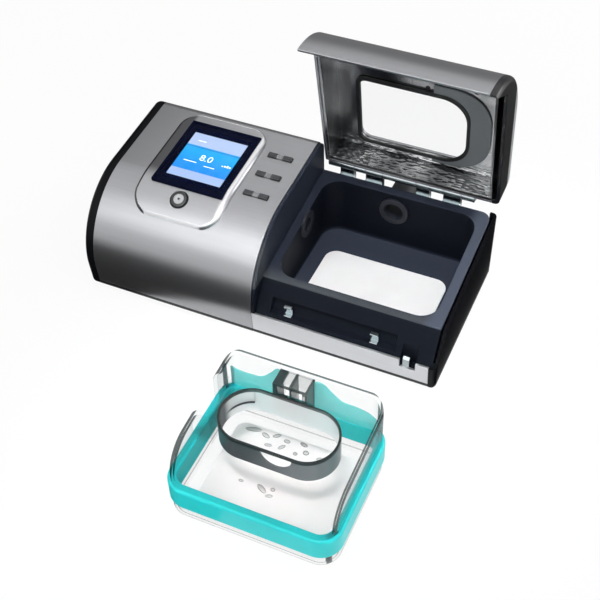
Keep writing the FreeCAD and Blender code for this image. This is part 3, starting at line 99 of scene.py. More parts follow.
# %% Write shader sums in Python
class Wire:
    """A number that comes out of a node."""

    def __init__(self, finish, socket):
        self.finish = finish
        self.socket = socket

    def sum(self, operation, first, second):
        made = self.finish.node("ShaderNodeMath", {"operation": operation}, {0: first, 1: second})
        return made.wire()

    def __add__(self, other):
        return self.sum("ADD", self, other)

    __radd__ = __add__

    def __sub__(self, other):
        return self.sum("SUBTRACT", self, other)

    def __rsub__(self, other):
        return self.sum("SUBTRACT", other, self)

    def __mul__(self, other):
        return self.sum("MULTIPLY", self, other)

    __rmul__ = __mul__

    def __pow__(self, other):
        return self.sum("POWER", self, other)

    def size(self):
        """The number without its sign."""
        return self.sum("ABSOLUTE", self, 0.0)

    def most(self, other):
        """The larger of two numbers, which joins two masks."""
        return self.sum("MAXIMUM", self, other)

    def ramp(self, low, high):
        """Zero below a level, one above another, and a smooth step between."""
        made = self.finish.node("ShaderNodeMapRange", {"interpolation_type": "SMOOTHSTEP"},
                                {"Value": self, "From Min": low, "From Max": high})
        return made.wire()

    def band(self, rise, fall):
        """One between two levels: it rises over the first pair and falls over the second."""
        return self.ramp(*rise) * (1 - self.ramp(*fall))

    def line_at(self, level, half, blur):
        """One within half a line's width of a level, and nothing past its soft edge."""
        return 1 - (self - level).size().ramp(half, half + blur)


class Node:
    """A made node; its outputs are wires."""

    def __init__(self, finish, made):
        self.finish = finish
        self.made = made

    def wire(self, name=0):
        return Wire(self.finish, self.made.outputs[name])


class Finish:
    """One material, built around a Principled shader."""

    def __init__(self, name, colour, roughness=0.5, **values):
        self.material = bpy.data.materials.new(name)
        self.material.use_nodes = True
        self.tree = self.material.node_tree
        self.shader = self.tree.nodes["Principled BSDF"]
        self.output = self.tree.nodes["Material Output"]
        self.set(Base_Color=(*colour, 1.0), Roughness=roughness, **values)

    def set(self, **values):
        """Set or feed sockets of the shader; an underscore stands for a space."""
        for name, value in values.items():
            self.feed(self.shader.inputs[name.replace("_", " ")], value)
        return self

    def feed(self, socket, value):
        if isinstance(value, Node):
            value = value.wire()
        if isinstance(value, Wire):
            self.tree.links.new(value.socket, socket)
        elif value is not None:
            socket.default_value = value

    def node(self, kind, settings=None, inputs=None):
        """Any node, from its type, its settings and the values or wires of its sockets."""
        made = self.tree.nodes.new(kind)
        for name, value in (settings or {}).items():
            setattr(made, name, value)
        for name, value in (inputs or {}).items():
            self.feed(made.inputs[name], value)
        return Node(self, made)

    def place(self, scale=(1, 1, 1)):
        """Object coordinates, stretched."""
        where = self.node("ShaderNodeTexCoord").wire("Object")
        return self.node("ShaderNodeMapping", {}, {"Vector": where, "Scale": scale}).wire()

    def noise(self, scale, detail=3.0, stretch=(1, 1, 1)):
        """Soft noise between 0 and 1; a small stretch draws it out into lines."""
        inputs = {"Vector": self.place(stretch), "Scale": scale, "Detail": detail}
        return self.node("ShaderNodeTexNoise", {}, inputs).wire("Fac")

    def mix(self, factor, first, second):
        """Two colours, blended; the colour sockets of a Mix node are its seventh and eighth."""
        made = self.node("ShaderNodeMix", {"data_type": "RGBA"},
                         {"Factor": factor, 6: first, 7: second})
        return made.wire(2)

    def axes(self, kind="Object"):
        """The three Object coordinates as separate wires."""
        where = self.node("ShaderNodeTexCoord").wire(kind)
        split = self.node("ShaderNodeSeparateXYZ", {}, {0: where})
        return split.wire("X"), split.wire("Y"), split.wire("Z")

    def facing(self):
        """The three parts of the direction that the surface faces, on the object itself."""
        return self.axes("Normal")

    def bump(self, height, strength, distance=0.1 * MM):
        """Lift the surface by a height between 0 and 1 times a distance."""
        inputs = {"Height": height, "Strength": strength, "Distance": distance}
        return self.set(Normal=self.node("ShaderNodeBump", {}, inputs))


print("shader helpers ready")

# %% [markdown]
# Colours are easier to choose from a paint card than as light values, so `paint` turns a
# card's code into the linear numbers that a shader wants.

# %% Read colours from a card
def paint(code):
    channels = [int(code[i:i + 2], 16) / 255 for i in (0, 2, 4)]
    return tuple(c / 12.92 if c <= 0.04045 else ((c + 0.055) / 1.055) ** 2.4 for c in channels)


def paint4(code, share=1.0):
    """The same colour with its alpha, darkened to a share of its light."""
    return (*[channel * share for channel in paint(code)], 1.0)


print("mid grey reads as", round(paint("808080")[0], 3))

# %% [markdown]
# The housing is moulded plastic under a satin silver coat, brushed along its length.  The
# brushing is fine noise, stretched until it becomes lines: it moves the roughness a little and
# lifts the surface by microns.  On the housing the coat stops just above the table, where the
# black base pan shows as a thin line, so a level in the Object Z coordinate tells silver from
# black there.  A coat rougher than 0.3 melts the lines together, as a satin lacquer does.

# %% Silver coat
PAN_LINE, PAN_BLUR = 6.4 * MM, 0.2 * MM
COAT_METAL = 0.95


def silver_finish(name, code, roughness, pan_line=None, tint=None):
    """Brushed silver: black below its pan line, and tinted by a function of its colour."""
    finish = Finish(name, paint(code), roughness, Metallic=COAT_METAL)
    lines = finish.noise(520.0, 3.0, (0.03, 1.0, 1.0))
    cloud = finish.noise(9.0, 2.0)
    colour = finish.mix(lines * 0.6 + cloud * 0.3, paint4(code), paint4(code, 0.84))
    satin = lines * 0.10 + (cloud * 0.05 + (roughness - 0.07))
    if tint:
        colour = tint(finish, colour)
    if pan_line:
        coat = finish.axes()[2].ramp(pan_line - PAN_BLUR, pan_line + PAN_BLUR)
        colour = finish.mix(coat, paint4("17181b"), colour)
        satin = (1 - coat) * 0.25 + satin
        finish.set(Metallic=coat * COAT_METAL)
    finish.set(Base_Color=colour, Roughness=satin)
    finish.bump(lines, 0.06)
    return finish


silver = silver_finish("brushed_silver_coat", "a9aaad", 0.31, PAN_LINE)
trim_silver = silver_finish("trim_silver_coat", "d2d3d6", 0.34, PAN_LINE)
lid_silver = silver_finish("lid_silver_coat", "a4a5a8", 0.31)
print("silver coats:", silver.material.name, trim_silver.material.name, lid_silver.material.name)

# %% [markdown]
# The display deck is a brighter silver, with painted light that falls off sideways: painted shade
# beside the screen's left edge and a painted highlight, almost white, along its right one.  Two
# masks in X paint them into the coat.  The deck's rounded border gets three finishes of its own,
# for its right, left and front faces, with painted highlight, painted shade and painted light.

# %% Display deck
PAINTED_SHADE_X, PAINTED_SHADE_Y = (-103.0 * MM, -99.0 * MM), (-24.0 * MM, -8.0 * MM)
PAINTED_HIGHLIGHT_X = (-43.2 * MM, -40.5 * MM)


def deck_painted_light(finish, brushed):
    across, along, _ = finish.axes()
    # Painted shade beside the screen's left edge, and a painted highlight along the deck's right
    # edge.
    left_painted_shade = (1 - across.ramp(*PAINTED_SHADE_X)) * along.ramp(*PAINTED_SHADE_Y)
    painted_shade_coat = finish.mix(left_painted_shade * 0.9, brushed, paint4("565759"))
    return finish.mix(across.ramp(*PAINTED_HIGHLIGHT_X), painted_shade_coat, paint4("f8f8fa"))


def edge_finish(name, code, metallic, low, spread):
    """A plain coat whose roughness drifts between two levels."""
    finish = Finish(name, paint(code), low, Metallic=metallic)
    return finish.set(Roughness=finish.noise(40.0) * spread + low)


bright_silver = silver_finish("bright_silver_deck", "b3b4b7", 0.31, tint=deck_painted_light)
# Three finishes for the deck's border: a painted highlight, a painted shade, and a pale satin coat
# with painted light.
painted_highlight_edge = edge_finish("painted_highlight_edge", "e4e5e8", COAT_METAL, 0.28, 0.08)
painted_shade_edge = silver_finish("painted_shade_edge", "5c5d5f", 0.34)
painted_pale_edge = edge_finish("painted_pale_edge", "d4d5d7", 0.1, 0.54, 0.12)
print("deck finishes:", bright_silver.material.name, painted_highlight_edge.material.name)

# %% [markdown]
# Moulded plastic is never quite even.  A spark-eroded mould leaves a fine pebble, and handling
# polishes it in patches, so one helper gives every dark moulding both, in its own strength.

# %% Moulded plastics
def moulded(name, code, roughness, pebble=0.25, grain=700.0, **values):
    """Plastic with patches of wear and a pebble of its own strength and fineness."""
    finish = Finish(name, paint(code), roughness, **values)
    patches = finish.noise(22.0)
    finish.set(Base_Color=finish.mix(patches, paint4(code), paint4(code, 0.80)))
    finish.set(Roughness=patches * 0.14 + (roughness - 0.07))
    return finish.bump(finish.noise(grain, 2.0), pebble)


cap_black = moulded("end_cap_black", "0d0e11", 0.34, 0.04, Specular_IOR_Level=0.08)
pan_black = moulded("textured_black", "24262b", 0.55, 0.4)
panel_grey = moulded("window_panel_grey", "6a6f72", 0.42, 0.08)
bezel_navy = moulded("bezel_navy", "050a22", 0.22, 0.02, Specular_IOR_Level=0.03)
button_grey = moulded("button_grey", "b4b6b8", 0.42, 0.10)
ring_dark = moulded("button_ring_dark", "2c2d2f", 0.36, 0.10)
board_green = moulded("board_green", "1d5a33", 0.4, 0.1)
wheel_white = moulded("wheel_white", "dfe1e2", 0.45, 0.1)
felt = moulded("felt_cream", "d3cfc4", 0.9, 0.6, 500.0)
foam = moulded("foam_grey", "5b5c60", 0.95, 0.9, 420.0)
paper = moulded("filter_paper", "e6e5de", 0.9, 0.4, 800.0)
rubber = moulded("grey_rubber", "303237", 0.7, 0.4)
rubber_black = moulded("black_rubber", "0c0d0f", 0.5, 0.2)
bush_rubber = moulded("port_rubber", "161a25", 0.6, 0.1)
teal = moulded("teal_silicone", "1dc8ca", 0.34, 0.05, 300.0, Specular_IOR_Level=0.3,
               Subsurface_Weight=0.08)
print("mouldings ready")

# %% [markdown]
# The tub is one blue-black moulding, and painted light makes it look like three.  Its sloping
# rim carries painted light and looks paler, the well's floor carries painted light from above,
# and the walls between stay dark.  The floor is found by its height, and the rim by how close it
# lies to the slope of the lid.  The rim's painted light is palest at the front and again over the
# right wall.

# %% Tub moulding
WELL_FLOOR, FLOOR_BLUR = 12.0 * MM, 4.0 * MM
RIM_FRONT, RIM_HEIGHT_FRONT = -48.5 * MM, 50.0 * MM
RIM_SLOPE = math.tan(math.radians(7.0))
RIM_EDGE = (-1.4 * MM, -0.6 * MM)
PAINTED_LIGHT_Y, PAINTED_LIGHT_X = (-49.0 * MM, -36.0 * MM), (124.0 * MM, 134.0 * MM)

tub_navy = Finish("tub_blue_black", paint("10131c"), 0.48, Specular_IOR_Level=0.08)
tub_x, tub_y, tub_z = tub_navy.axes()
# Painted light from above on the well's floor.
painted_floor_light = 1 - tub_z.ramp(WELL_FLOOR, WELL_FLOOR + FLOOR_BLUR)
below_slope = tub_z - (tub_y - RIM_FRONT) * RIM_SLOPE - RIM_HEIGHT_FRONT
tub_patches = tub_navy.noise(22.0)
tub_walls = tub_navy.mix(tub_patches, paint4("12161f"), paint4("0b0e16"))
# Painted light on the sloping rim, palest at the front and over the right wall.
painted_rim_light = tub_navy.mix(tub_y.ramp(*PAINTED_LIGHT_Y), paint4("3d4146"), paint4("262b36"))
painted_rim_light = tub_navy.mix(tub_x.ramp(*PAINTED_LIGHT_X), painted_rim_light, paint4("434955"))
tub_with_painted_floor = tub_navy.mix(painted_floor_light * 0.9, tub_walls, paint4("333844"))
tub_navy.set(Base_Color=tub_navy.mix(below_slope.ramp(*RIM_EDGE), tub_with_painted_floor, painted_rim_light))
tub_navy.set(Roughness=tub_patches * 0.14 + 0.42)
tub_navy.bump(tub_navy.noise(700.0, 2.0), 0.12)
print("tub floor lies below", WELL_FLOOR)

# %% [markdown]
# The cap on the lid's right end is black, and only its outer edge carries the silver coat.  The
# lid stands open here, so its skin leans back by a few degrees: a sum of Y and Z gives the depth
# under the skin, and the coat reaches as deep as a spray gun does.

# %% Lid end cap
SKIN_LEVEL, COAT_DEPTH, COAT_BLUR = 105.3 * MM, 9.5 * MM, 1.0 * MM
SKIN_LEAN = math.radians(8.0)
COATED_X = (141.5 * MM, 144.0 * MM)

lid_cap = Finish("lid_cap_two_tone", paint("0d0e11"), 0.3)
cap_x, cap_y, cap_z = lid_cap.axes()
under_skin = SKIN_LEVEL - (cap_y * math.cos(SKIN_LEAN) + cap_z * math.sin(SKIN_LEAN))
coated = cap_x.ramp(*COATED_X) * (1 - under_skin.ramp(COAT_DEPTH - COAT_BLUR,
                                                      COAT_DEPTH + COAT_BLUR))
lid_cap.set(Base_Color=lid_cap.mix(coated, paint4("0d0e11"), paint4("b4b5b7")))
lid_cap.set(Metallic=coated * 0.2, Roughness=lid_cap.noise(60.0) * 0.1 + 0.25)
lid_cap.bump(lid_cap.noise(700.0), 0.05)
print("cap coat is", round(COAT_DEPTH / MM, 1), "mm deep")

# %% [markdown]
# The slim keys are dark at both ends and grey in the finger dip between them.  The distance
# from the key's middle along X chooses the colour, with a soft edge.

# %% Two-tone keys
KEY_MIDDLE = -21.0 * MM
DIP_HALF = 2.4 * MM

key_finish = Finish("key_two_tone", paint("2f3032"), 0.38)
off_middle = key_finish.axes()[0] - KEY_MIDDLE
in_dip = 1 - (off_middle * off_middle).ramp(DIP_HALF ** 2 * 0.8, DIP_HALF ** 2 * 1.3)
key_finish.set(Base_Color=key_finish.mix(in_dip, paint4("303133"), paint4("77797b")))
key_finish.set(Roughness=key_finish.noise(300.0) * 0.15 + 0.32)
key_finish.bump(key_finish.noise(700.0), 0.15)
print("key dip is", round(2 * DIP_HALF / MM, 1), "mm long")

# %% [markdown]
# The skirt inside the chamber is smoked at the front, where it pales towards its right end, and
# milky at the back, where it lets part of the light through.  A black rim runs all round its
# top.  The roof it follows slopes by 4 degrees, so the rim is found by a height that leans with
# Y.  At the back of the left end a dark line marks the lower edge of a short wall inside.

# %% Smoked skirt
SKIRT_MIDDLE, RIM_HEIGHT = -178.4 * MM, 58.6 * MM
ROOF_SLOPE = math.radians(4.0)
RIM_BLUR = 0.4 * MM
CLEAR_Y = (SKIRT_MIDDLE + 1.0 * MM, SKIRT_MIDDLE + 9.0 * MM)
FADED_Y = (SKIRT_MIDDLE + 12.0 * MM, SKIRT_MIDDLE + 21.0 * MM)
SHORT_WALL_FOOT, SHORT_WALL_END = 48.0 * MM, 48.5 * MM
BACK_ALPHA = 0.62

skirt_grey = Finish("skirt_smoke", paint("4a4b4d"), 0.3)
skirt_x, skirt_y, skirt_z = skirt_grey.axes()
lean = skirt_z - (skirt_y - SKIRT_MIDDLE) * math.tan(ROOF_SLOPE)
rim = lean.ramp(RIM_HEIGHT - RIM_BLUR, RIM_HEIGHT + RIM_BLUR)
rim_fade = 1 - skirt_y.ramp(*FADED_Y) * 0.75
front_half = 1 - skirt_y.ramp(*CLEAR_Y)
smoke = skirt_grey.mix(skirt_x.ramp(60.0 * MM, 118.0 * MM), paint4("46474a"), paint4("7d7f82"))
smoke = skirt_grey.mix(front_half, paint4("ffffff"), smoke)
foot_line = (lean.line_at(SHORT_WALL_FOOT, 0.9 * MM, 0.6 * MM)
             * (1 - skirt_x.ramp(SHORT_WALL_END - RIM_BLUR, SHORT_WALL_END)))
end_line = (skirt_x.line_at(SHORT_WALL_END, 0.4 * MM, 0.5 * MM)
            * lean.ramp(SHORT_WALL_FOOT, SHORT_WALL_FOOT + 0.5 * MM) * 0.35)
ink = (rim * rim_fade).most(foot_line.most(end_line) * (1 - front_half))
skirt_grey.set(Base_Color=skirt_grey.mix(ink.most(rim), smoke, paint4("0c0d0e")))
skirt_grey.set(Alpha=BACK_ALPHA + (1 - BACK_ALPHA) * front_half.most(ink))
skirt_grey.set(Roughness=skirt_grey.noise(60.0) * 0.12 + 0.26)
skirt_grey.bump(skirt_grey.noise(500.0), 0.06)
print("skirt rim starts at", RIM_HEIGHT)

# %% [markdown]
# Metals: the plated steel of the hooks and hinges is hammered by its stamping, and drawn steel
# has lines.  The heater plate and the chamber's plate are bead-blasted until they look almost
# white, so they are made as a pale moulding with next to no metal in it.

# %% Metals
def metal(name, code, roughness, stretch=(1, 1, 1), scale=600.0, strength=0.1):
    """Bare metal whose noise moves both its roughness and its surface."""
    finish = Finish(name, paint(code), roughness, Metallic=1.0)
    lines = finish.noise(scale, 3.0, stretch)
    finish.set(Roughness=lines * 0.14 + (roughness - 0.07))
    return finish.bump(lines, strength)


chrome = metal("plated_steel", "a9b2b5", 0.16, (1, 1, 1), 260.0, 0.9)
steel = metal("drawn_steel", "c3c5c9", 0.3, (0.04, 1, 1))
blasted = moulded("blasted_plate", "f4f4f5", 0.5, 0.15, 900.0, Metallic=0.1)
pale_plate = moulded("chamber_plate", "fbf1f0", 0.5, 0.10, 900.0)
foil = metal("etched_foil", "c4905a", 0.35)
print("metals ready")

# %% [markdown]
# The inside of the lid is bright metallised plastic.  It is streaky from top to bottom, and
# near the hinge it is crumpled like foil.  One bump carries both: fine streaks everywhere, and
# a coarse cell pattern that fades in towards the hinge.

# %% Metallised lid lining
CRUMPLE_TOP, CRUMPLE_FADE = 93.0 * MM, 8.0 * MM

lining = Finish("metallised_lining", paint("8f9192"), 0.22, Metallic=1.0)
lining_height = lining.axes()[2]
crumple_zone = 1 - lining_height.ramp(CRUMPLE_TOP - CRUMPLE_FADE, CRUMPLE_TOP)
cells = lining.node("ShaderNodeTexVoronoi", {"feature": "F1"},
                    {"Vector": lining.place((0.5, 1.0, 2.6)), "Scale": 360.0}).wire("Distance")
streaks = lining.noise(160.0, 3.0, (1.0, 1.0, 0.05))
clouds = lining.noise(30.0, 2.0, (1.0, 1.0, 0.3))
lining.set(Base_Color=lining.mix(clouds.ramp(0.35, 0.65), paint4("6a6c6d"), paint4("c3c4c5")))
lining.set(Roughness=streaks * 0.16 + 0.14)
lining.bump(cells * crumple_zone * 0.8 + streaks * 0.12, 0.9, 1.2 * MM)
print("lining is crumpled below", CRUMPLE_TOP)

# %% [markdown]
# Clear plastic is almost not there: square on, light goes straight through, and only towards
# the edges does the wall show, darker and greener, because there the light runs a long way
# inside it.  A thin wall doesn't bend what lies behind it either.  So the walls are drawn by
# Alpha: a Layer Weight node finds the surfaces that turn away and makes them solid.  A wall
# that is seen end on is a thin dark line, which Alpha alone would miss, so each piece may have
# a mask that draws those lines, by place or by the way that the surface faces.

# %% Clear plastics
# The dark lines where a clear wall is seen end on are painted shade, in this colour and alpha.
PAINTED_EDGE_SHADE, LINE_ALPHA = paint4("0a2022"), 0.85


def clear(name, edge_code, roughness, edge_power=3.0, body=0.08, drawn=None):
    """Plastic as clear as its body says, with its drawn lines."""
    finish = Finish(name, paint(edge_code), roughness)
    turning = finish.node("ShaderNodeLayerWeight", {}, {"Blend": 0.35}).wire("Facing")
    ripple = finish.noise(60.0, 2.0)
    colour = finish.mix(ripple, paint4(edge_code), paint4(edge_code, 0.8))
    alpha = turning ** edge_power * (1 - body) + body
    if drawn:
        line = drawn(finish)
        colour, alpha = finish.mix(line, colour, PAINTED_EDGE_SHADE), alpha.most(line * LINE_ALPHA)
    finish.set(Base_Color=colour, Alpha=alpha)
    return finish.bump(ripple, 0.03, 0.4 * MM)


def cover_lines(finish):
    """Where the cover's wall is seen end on: along the top of its back wall and its round sides."""
    _, y, z = finish.axes()
    back_line = y.ramp(-135.7 * MM, -135.3 * MM) * z.ramp(64.6 * MM, 65.0 * MM)
    rightward = finish.facing()[0]
    right_line = rightward.band((0.87, 0.90), (0.965, 0.985))
    left_line = (0 - rightward).band((0.55, 0.60), (0.965, 0.985))
    return (back_line * 0.85).most(right_line.most(left_line))


def tub_lines(finish):
    """The tub's four upright corners, which face half along X and half along Y."""
    x, y, _ = finish.facing()
    return (x * y).size().ramp(0.470, 0.490) * finish.axes()[2].ramp(2.0 * MM, 4.0 * MM)


def duct_lines(finish):
    """The duct's left side, its rib, its right wall, the band over its mouth and its two feet."""
    x, y, z = finish.axes()
    left_side = 1 - x.ramp(62.5 * MM, 64.0 * MM)
    rib_line = x.line_at(69.5 * MM, 0.7 * MM, 0.4 * MM)
    right_line = x.ramp(80.2 * MM, 80.6 * MM)
    mouth_band = (1 - y.ramp(-149.2 * MM, -148.6 * MM)) * z.ramp(58.0 * MM, 60.0 * MM)
    between_feet = ((1 - z.ramp(44.0 * MM, 46.0 * MM))
                    * x.band((60.8 * MM, 61.6 * MM), (78.0 * MM, 78.8 * MM)))
    return left_side.most(rib_line).most(right_line).most(mouth_band) * (1 - between_feet)


def bead_rim(finish):
    """The steep rim of a water bead."""
    return finish.facing()[2].band((-0.2, 0.0), (0.78, 0.90)) * 0.6


clear_cover = clear("clear_cover", "3f7375", 0.04, 3.2, 0.01, cover_lines)
clear_duct = clear("clear_duct", "24393b", 0.06, 1.6, 0.10, duct_lines)
clear_tub = clear("clear_tub", "5f6f70", 0.05, 3.4, 0.01, tub_lines)
clear_pane = clear("clear_pane", "8f9ca0", 0.04, 4.0, 0.04)
clear_lens = clear("display_lens", "10141c", 0.04, 4.0, 0.02)
# Pale teal sheets of painted refraction, for the back wall of the cover.
painted_teal_refraction = clear("painted_teal_refraction", "6ff0ee", 0.3, 1.5, 0.62)
water = clear("water_bead", "3a4042", 0.02, 1.0, 0.05, bead_rim)
print("clear plastics ready")

# %% [markdown]
# The rounded edges of the clear pieces gather light and look almost black, so the faces that
# the bevel makes get a denser finish of their own.

# %% Edges of the clear pieces
cover_edge = clear("cover_edge", "0c2a2c", 0.10, 1.0, 0.75)
duct_edge = clear("duct_edge", "060b0c", 0.10, 1.0, 0.85)
tub_edge = clear("tub_edge", "1c2627", 0.10, 1.0, 0.30)
print("dense edges:", cover_edge.material.name, duct_edge.material.name, tub_edge.material.name)

# %% [markdown]
# The screen is lit from behind.  Its picture is generic: a pale band at the back, a pale band
# at the front, a blue field between, and the display's own black border all round.  The bands
# follow the sloping deck, so the shader reads the distance along it, which is Y and Z together.

# %% Lit screen
DECK_SLOPE = math.radians(4.0)
NOSE_Y, NOSE_Z, NOSE_RADIUS = -5.3 * MM, 27.0 * MM, 61.2 * MM
PICTURE_X = (-94.0 * MM, -48.6 * MM)
PICTURE_Y = (-3.9 * MM, 45.5 * MM)
CRISP = 0.2 * MM

screen_lit = Finish("screen_backlight", paint("0a9bf5"), 0.25, Emission_Strength=0.80,
                    Specular_IOR_Level=0.0)
screen_x, screen_y, screen_z = screen_lit.axes()
along_deck = ((screen_y - NOSE_Y) * math.cos(DECK_SLOPE)
              + (screen_z - NOSE_Z) * math.sin(DECK_SLOPE))


def inside(place, limits):
    """One between two limits, with crisp edges."""
    first, last = limits
    return place.band((first - CRISP, first + CRISP), (last - CRISP, last + CRISP))


picture = screen_lit.mix(along_deck.ramp(5.0 * MM, 30.0 * MM), paint4("0590ee"), paint4("10acff"))
front_band = 1 - along_deck.ramp(4.2 * MM, 5.0 * MM)
back_band = along_deck.ramp(31.6 * MM, 32.4 * MM)
thin_line = along_deck.band((29.8 * MM, 30.2 * MM), (30.8 * MM, 31.4 * MM))
glow = screen_lit.noise(180.0, 2.0, (1.0, 0.4, 1.0))
for mask, code in ((front_band, "a9c3ef"), (back_band, "b6caf0"), (thin_line * 0.6, "0b5fa8"),
                   (glow * 0.10, "cfe4ff")):
    picture = screen_lit.mix(mask, picture, paint4(code))
lit_part = inside(screen_x, PICTURE_X) * inside(along_deck, PICTURE_Y)
picture = screen_lit.mix(lit_part, paint4("050a24"), picture)
screen_lit.set(Base_Color=screen_lit.mix(0.7, picture, paint4("05060c")), Emission_Color=picture)
print("picture is", round((PICTURE_X[1] - PICTURE_X[0]) / MM, 1), "mm wide")

# %% [markdown]
# A drawn solid has knife edges, and a real moulding never does: its small rounds catch the
# light and make it look solid.  `softened` copies a solid, joins its loose triangles, turns
# flat patches back into single faces and bevels every sharp edge by the width in its row of the
# table.  Where a row has two finishes, the second goes on the faces of the bevel.

# %% Soften the edges of a solid
BODIES = {node: body for body, members in frame["record"]["behaviour"]["bodies"].items()
          for node in members}
SMOOTH_UNDER, FLAT_UNDER = math.radians(50), math.radians(0.6)
OPEN_EDGE = 3.14


def keep(shape, name, finish, body):
    """Turn a bmesh into a smooth piece that rides on a body."""
    for face in shape.faces:
        face.smooth = True
    for edge in shape.edges:
        edge.smooth = edge.calc_face_angle(OPEN_EDGE) < SMOOTH_UNDER
    mesh = bpy.data.meshes.new(name)
    shape.to_mesh(mesh)
    shape.free()
    piece = add_object(name, mesh)
    for one in finish if isinstance(finish, tuple) else (finish,):
        mesh.materials.append(one.material)
    piece.modifiers.new("even_light", "WEIGHTED_NORMAL").keep_sharp = True
    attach(piece, body)
    return piece


def round_over(shape, width, segments=2, corner=28.0):
    """Bevel every edge that turns by more than a corner angle."""
    sharp = [edge for edge in shape.edges
             if len(edge.link_faces) == 2 and edge.calc_face_angle(0.0) > math.radians(corner)]
    made = bmesh.ops.bevel(shape, geom=sharp, offset=width * MM, offset_type="OFFSET",
                           affect="EDGES", segments=segments, profile=0.5, material=-1,
                           clamp_overlap=True)
    return made["faces"]


def softened(node, finish, width):
    """A copy of a solid with its edges rounded by a width in millimetres."""
    shape = bmesh.new()
    shape.from_mesh(frame["nodes"][node].data)
    bmesh.ops.remove_doubles(shape, verts=shape.verts, dist=1e-6)
    bmesh.ops.dissolve_limit(shape, angle_limit=FLAT_UNDER, verts=shape.verts,
                             edges=shape.edges)
    if width:
        for face in round_over(shape, width):
            face.material_index = 1 if isinstance(finish, tuple) else 0
    piece = keep(shape, node + "_dressed", finish, BODIES[node])
    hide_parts(node)
    return piece


DRESS = (
    ("main_shell", silver, 0.5), ("control_platform", bright_silver, 0.3),
    ("base_trim", trim_silver, 0.3), ("lid_shell", lid_silver, 0.5),
    ("left_end_cap", cap_black, 0.2), ("right_end_cap", cap_black, 0.3),
    ("lid_end_cap", lid_cap, 0.3), ("dividing_wall", tub_navy, 0.3),
    ("humidifier_tub", tub_navy, 0.8), ("lid_liner", lining, 0.3),
    ("base_pan", pan_black, 0.3), ("rear_panel", pan_black, 0.3),
    ("filter_cover", pan_black, 0.3), ("hose_connector", pan_black, 0.3),
    ("power_inlet", pan_black, 0.15), ("display_bezel", bezel_navy, 0.4),
    ("display_lens", clear_lens, 0.15), ("display_module", screen_lit, 0.0),
    ("lower_button", key_finish, 0.4), ("middle_button", key_finish, 0.4),
    ("upper_button", key_finish, 0.4), ("switch_board", board_green, 0.0),
    ("main_board", board_green, 0.0), ("latch_hook", chrome, 0.2),
    ("latch_catches", chrome, 0.2), ("lid_latch_hooks", chrome, 0.2),
    ("hinge_brackets", chrome, 0.3), ("lid_hinge_barrels", chrome, 0.3),
    ("hinge_pin", steel, 0.2), ("base_screws", steel, 0.1), ("rubber_feet", rubber, 0.4),
    ("heater_plate", blasted, 0.4), ("heater_element", foil, 0.0),
    ("heater_insulation", felt, 0.4), ("air_inlet_seal", bush_rubber, 0.4),
    ("outlet_seal", bush_rubber, 0.4), ("chamber_tub", (clear_tub, tub_edge), 0.6),
    ("chamber_cover", (clear_cover, cover_edge), 0.6), ("chamber_base_plate", pale_plate, 0.4),
    ("chamber_seal", teal, 0.8), ("baffle_ring", skirt_grey, 0.3),
    ("outlet_duct", (clear_duct, duct_edge), 0.4), ("lid_window", clear_pane, 0.2),
    ("blower_lower_housing", pan_black, 0.4), ("blower_upper_housing", pan_black, 0.4),
    ("blower_motor", steel, 0.4), ("impeller", wheel_white, 0.0),
    ("impeller_shaft", steel, 0.2), ("blower_mounts", rubber, 0.3),
    ("delivery_duct", rubber, 0.0), ("inlet_muffler", foam, 0.6), ("air_filter", paper, 0.3),
)
dressed = {node: softened(node, finish, width) for node, finish, width in DRESS}
print("softened solids:", len(dressed))

# %% [markdown]
# The deck's rounded border has finishes of its own, which paint light and shade on it.  It is
# made of the faces that lean away from the skin under them, so each face's normal is compared
# with the direction that points straight out of the nose and the sloping top there.  Right faces
# get a painted highlight, left ones a painted shade, and the front and back ones a pale satin
# coat with painted light.

# %% Border of the deck
BORDER_LEAN = math.radians(8.0)
SIDEWAYS = 0.15


def skin_direction(place):
    """Straight out of the housing's skin at a place: round the nose, then up the slope."""
    lean = max(DECK_SLOPE, math.atan2(NOSE_Y - place.y, place.z - NOSE_Z))
    return Vector((0.0, -math.sin(lean), math.cos(lean)))


deck_mesh = dressed["control_platform"].data
for finish in (painted_highlight_edge, painted_shade_edge, painted_pale_edge):
    deck_mesh.materials.append(finish.material)
border = [face for face in deck_mesh.polygons
          if face.normal.angle(skin_direction(face.center)) > BORDER_LEAN]
# Right faces take the painted highlight, left ones the painted shade, the others the pale satin
# coat with painted light.
for face in border:
    sideways = face.normal.x
    face.material_index = 1 if sideways > SIDEWAYS else 2 if sideways < -SIDEWAYS else 3
print("border faces:", len(border))

# %% [markdown]
# Turned parts are profiles of radius and height, spun once round.  The round button's profile
# makes a dark rim, a sunken grey dish and a dark dot in its middle: the third number of a point
# is the finish of the band that ends there.  It is turned upright and then leaned onto the
# curved front of the deck.

# %% Turned pieces
def turned(profile, steps=48):
    """Spin a list of (radius, height, material) points once round the Z axis."""
    shape = bmesh.new()
    rims = [shape.verts.new((radius * MM, 0.0, height * MM)) for radius, height, _ in profile]
    for first, second in zip(rims, rims[1:]):
        shape.edges.new((first, second))
    bmesh.ops.spin(shape, geom=shape.verts[:] + shape.edges[:], cent=(0, 0, 0), axis=(0, 0, 1),
                   angle=2 * math.pi, steps=steps, use_merge=True)
    bmesh.ops.remove_doubles(shape, verts=shape.verts, dist=1e-7)
    bmesh.ops.recalc_face_normals(shape, faces=shape.faces)
    for face in shape.faces:
        middle = face.calc_center_median()
        reach = math.hypot(middle.x, middle.y) / MM
        face.material_index = next((number for radius, _, number in profile if reach < radius), 0)
    return shape


def deck_frame(slope):
    """A frame that is turned about the middle of the nose; its Z points out of the skin."""
    return Matrix.Translation((0.0, NOSE_Y, NOSE_Z)) @ Matrix.Rotation(slope, 4, "X")


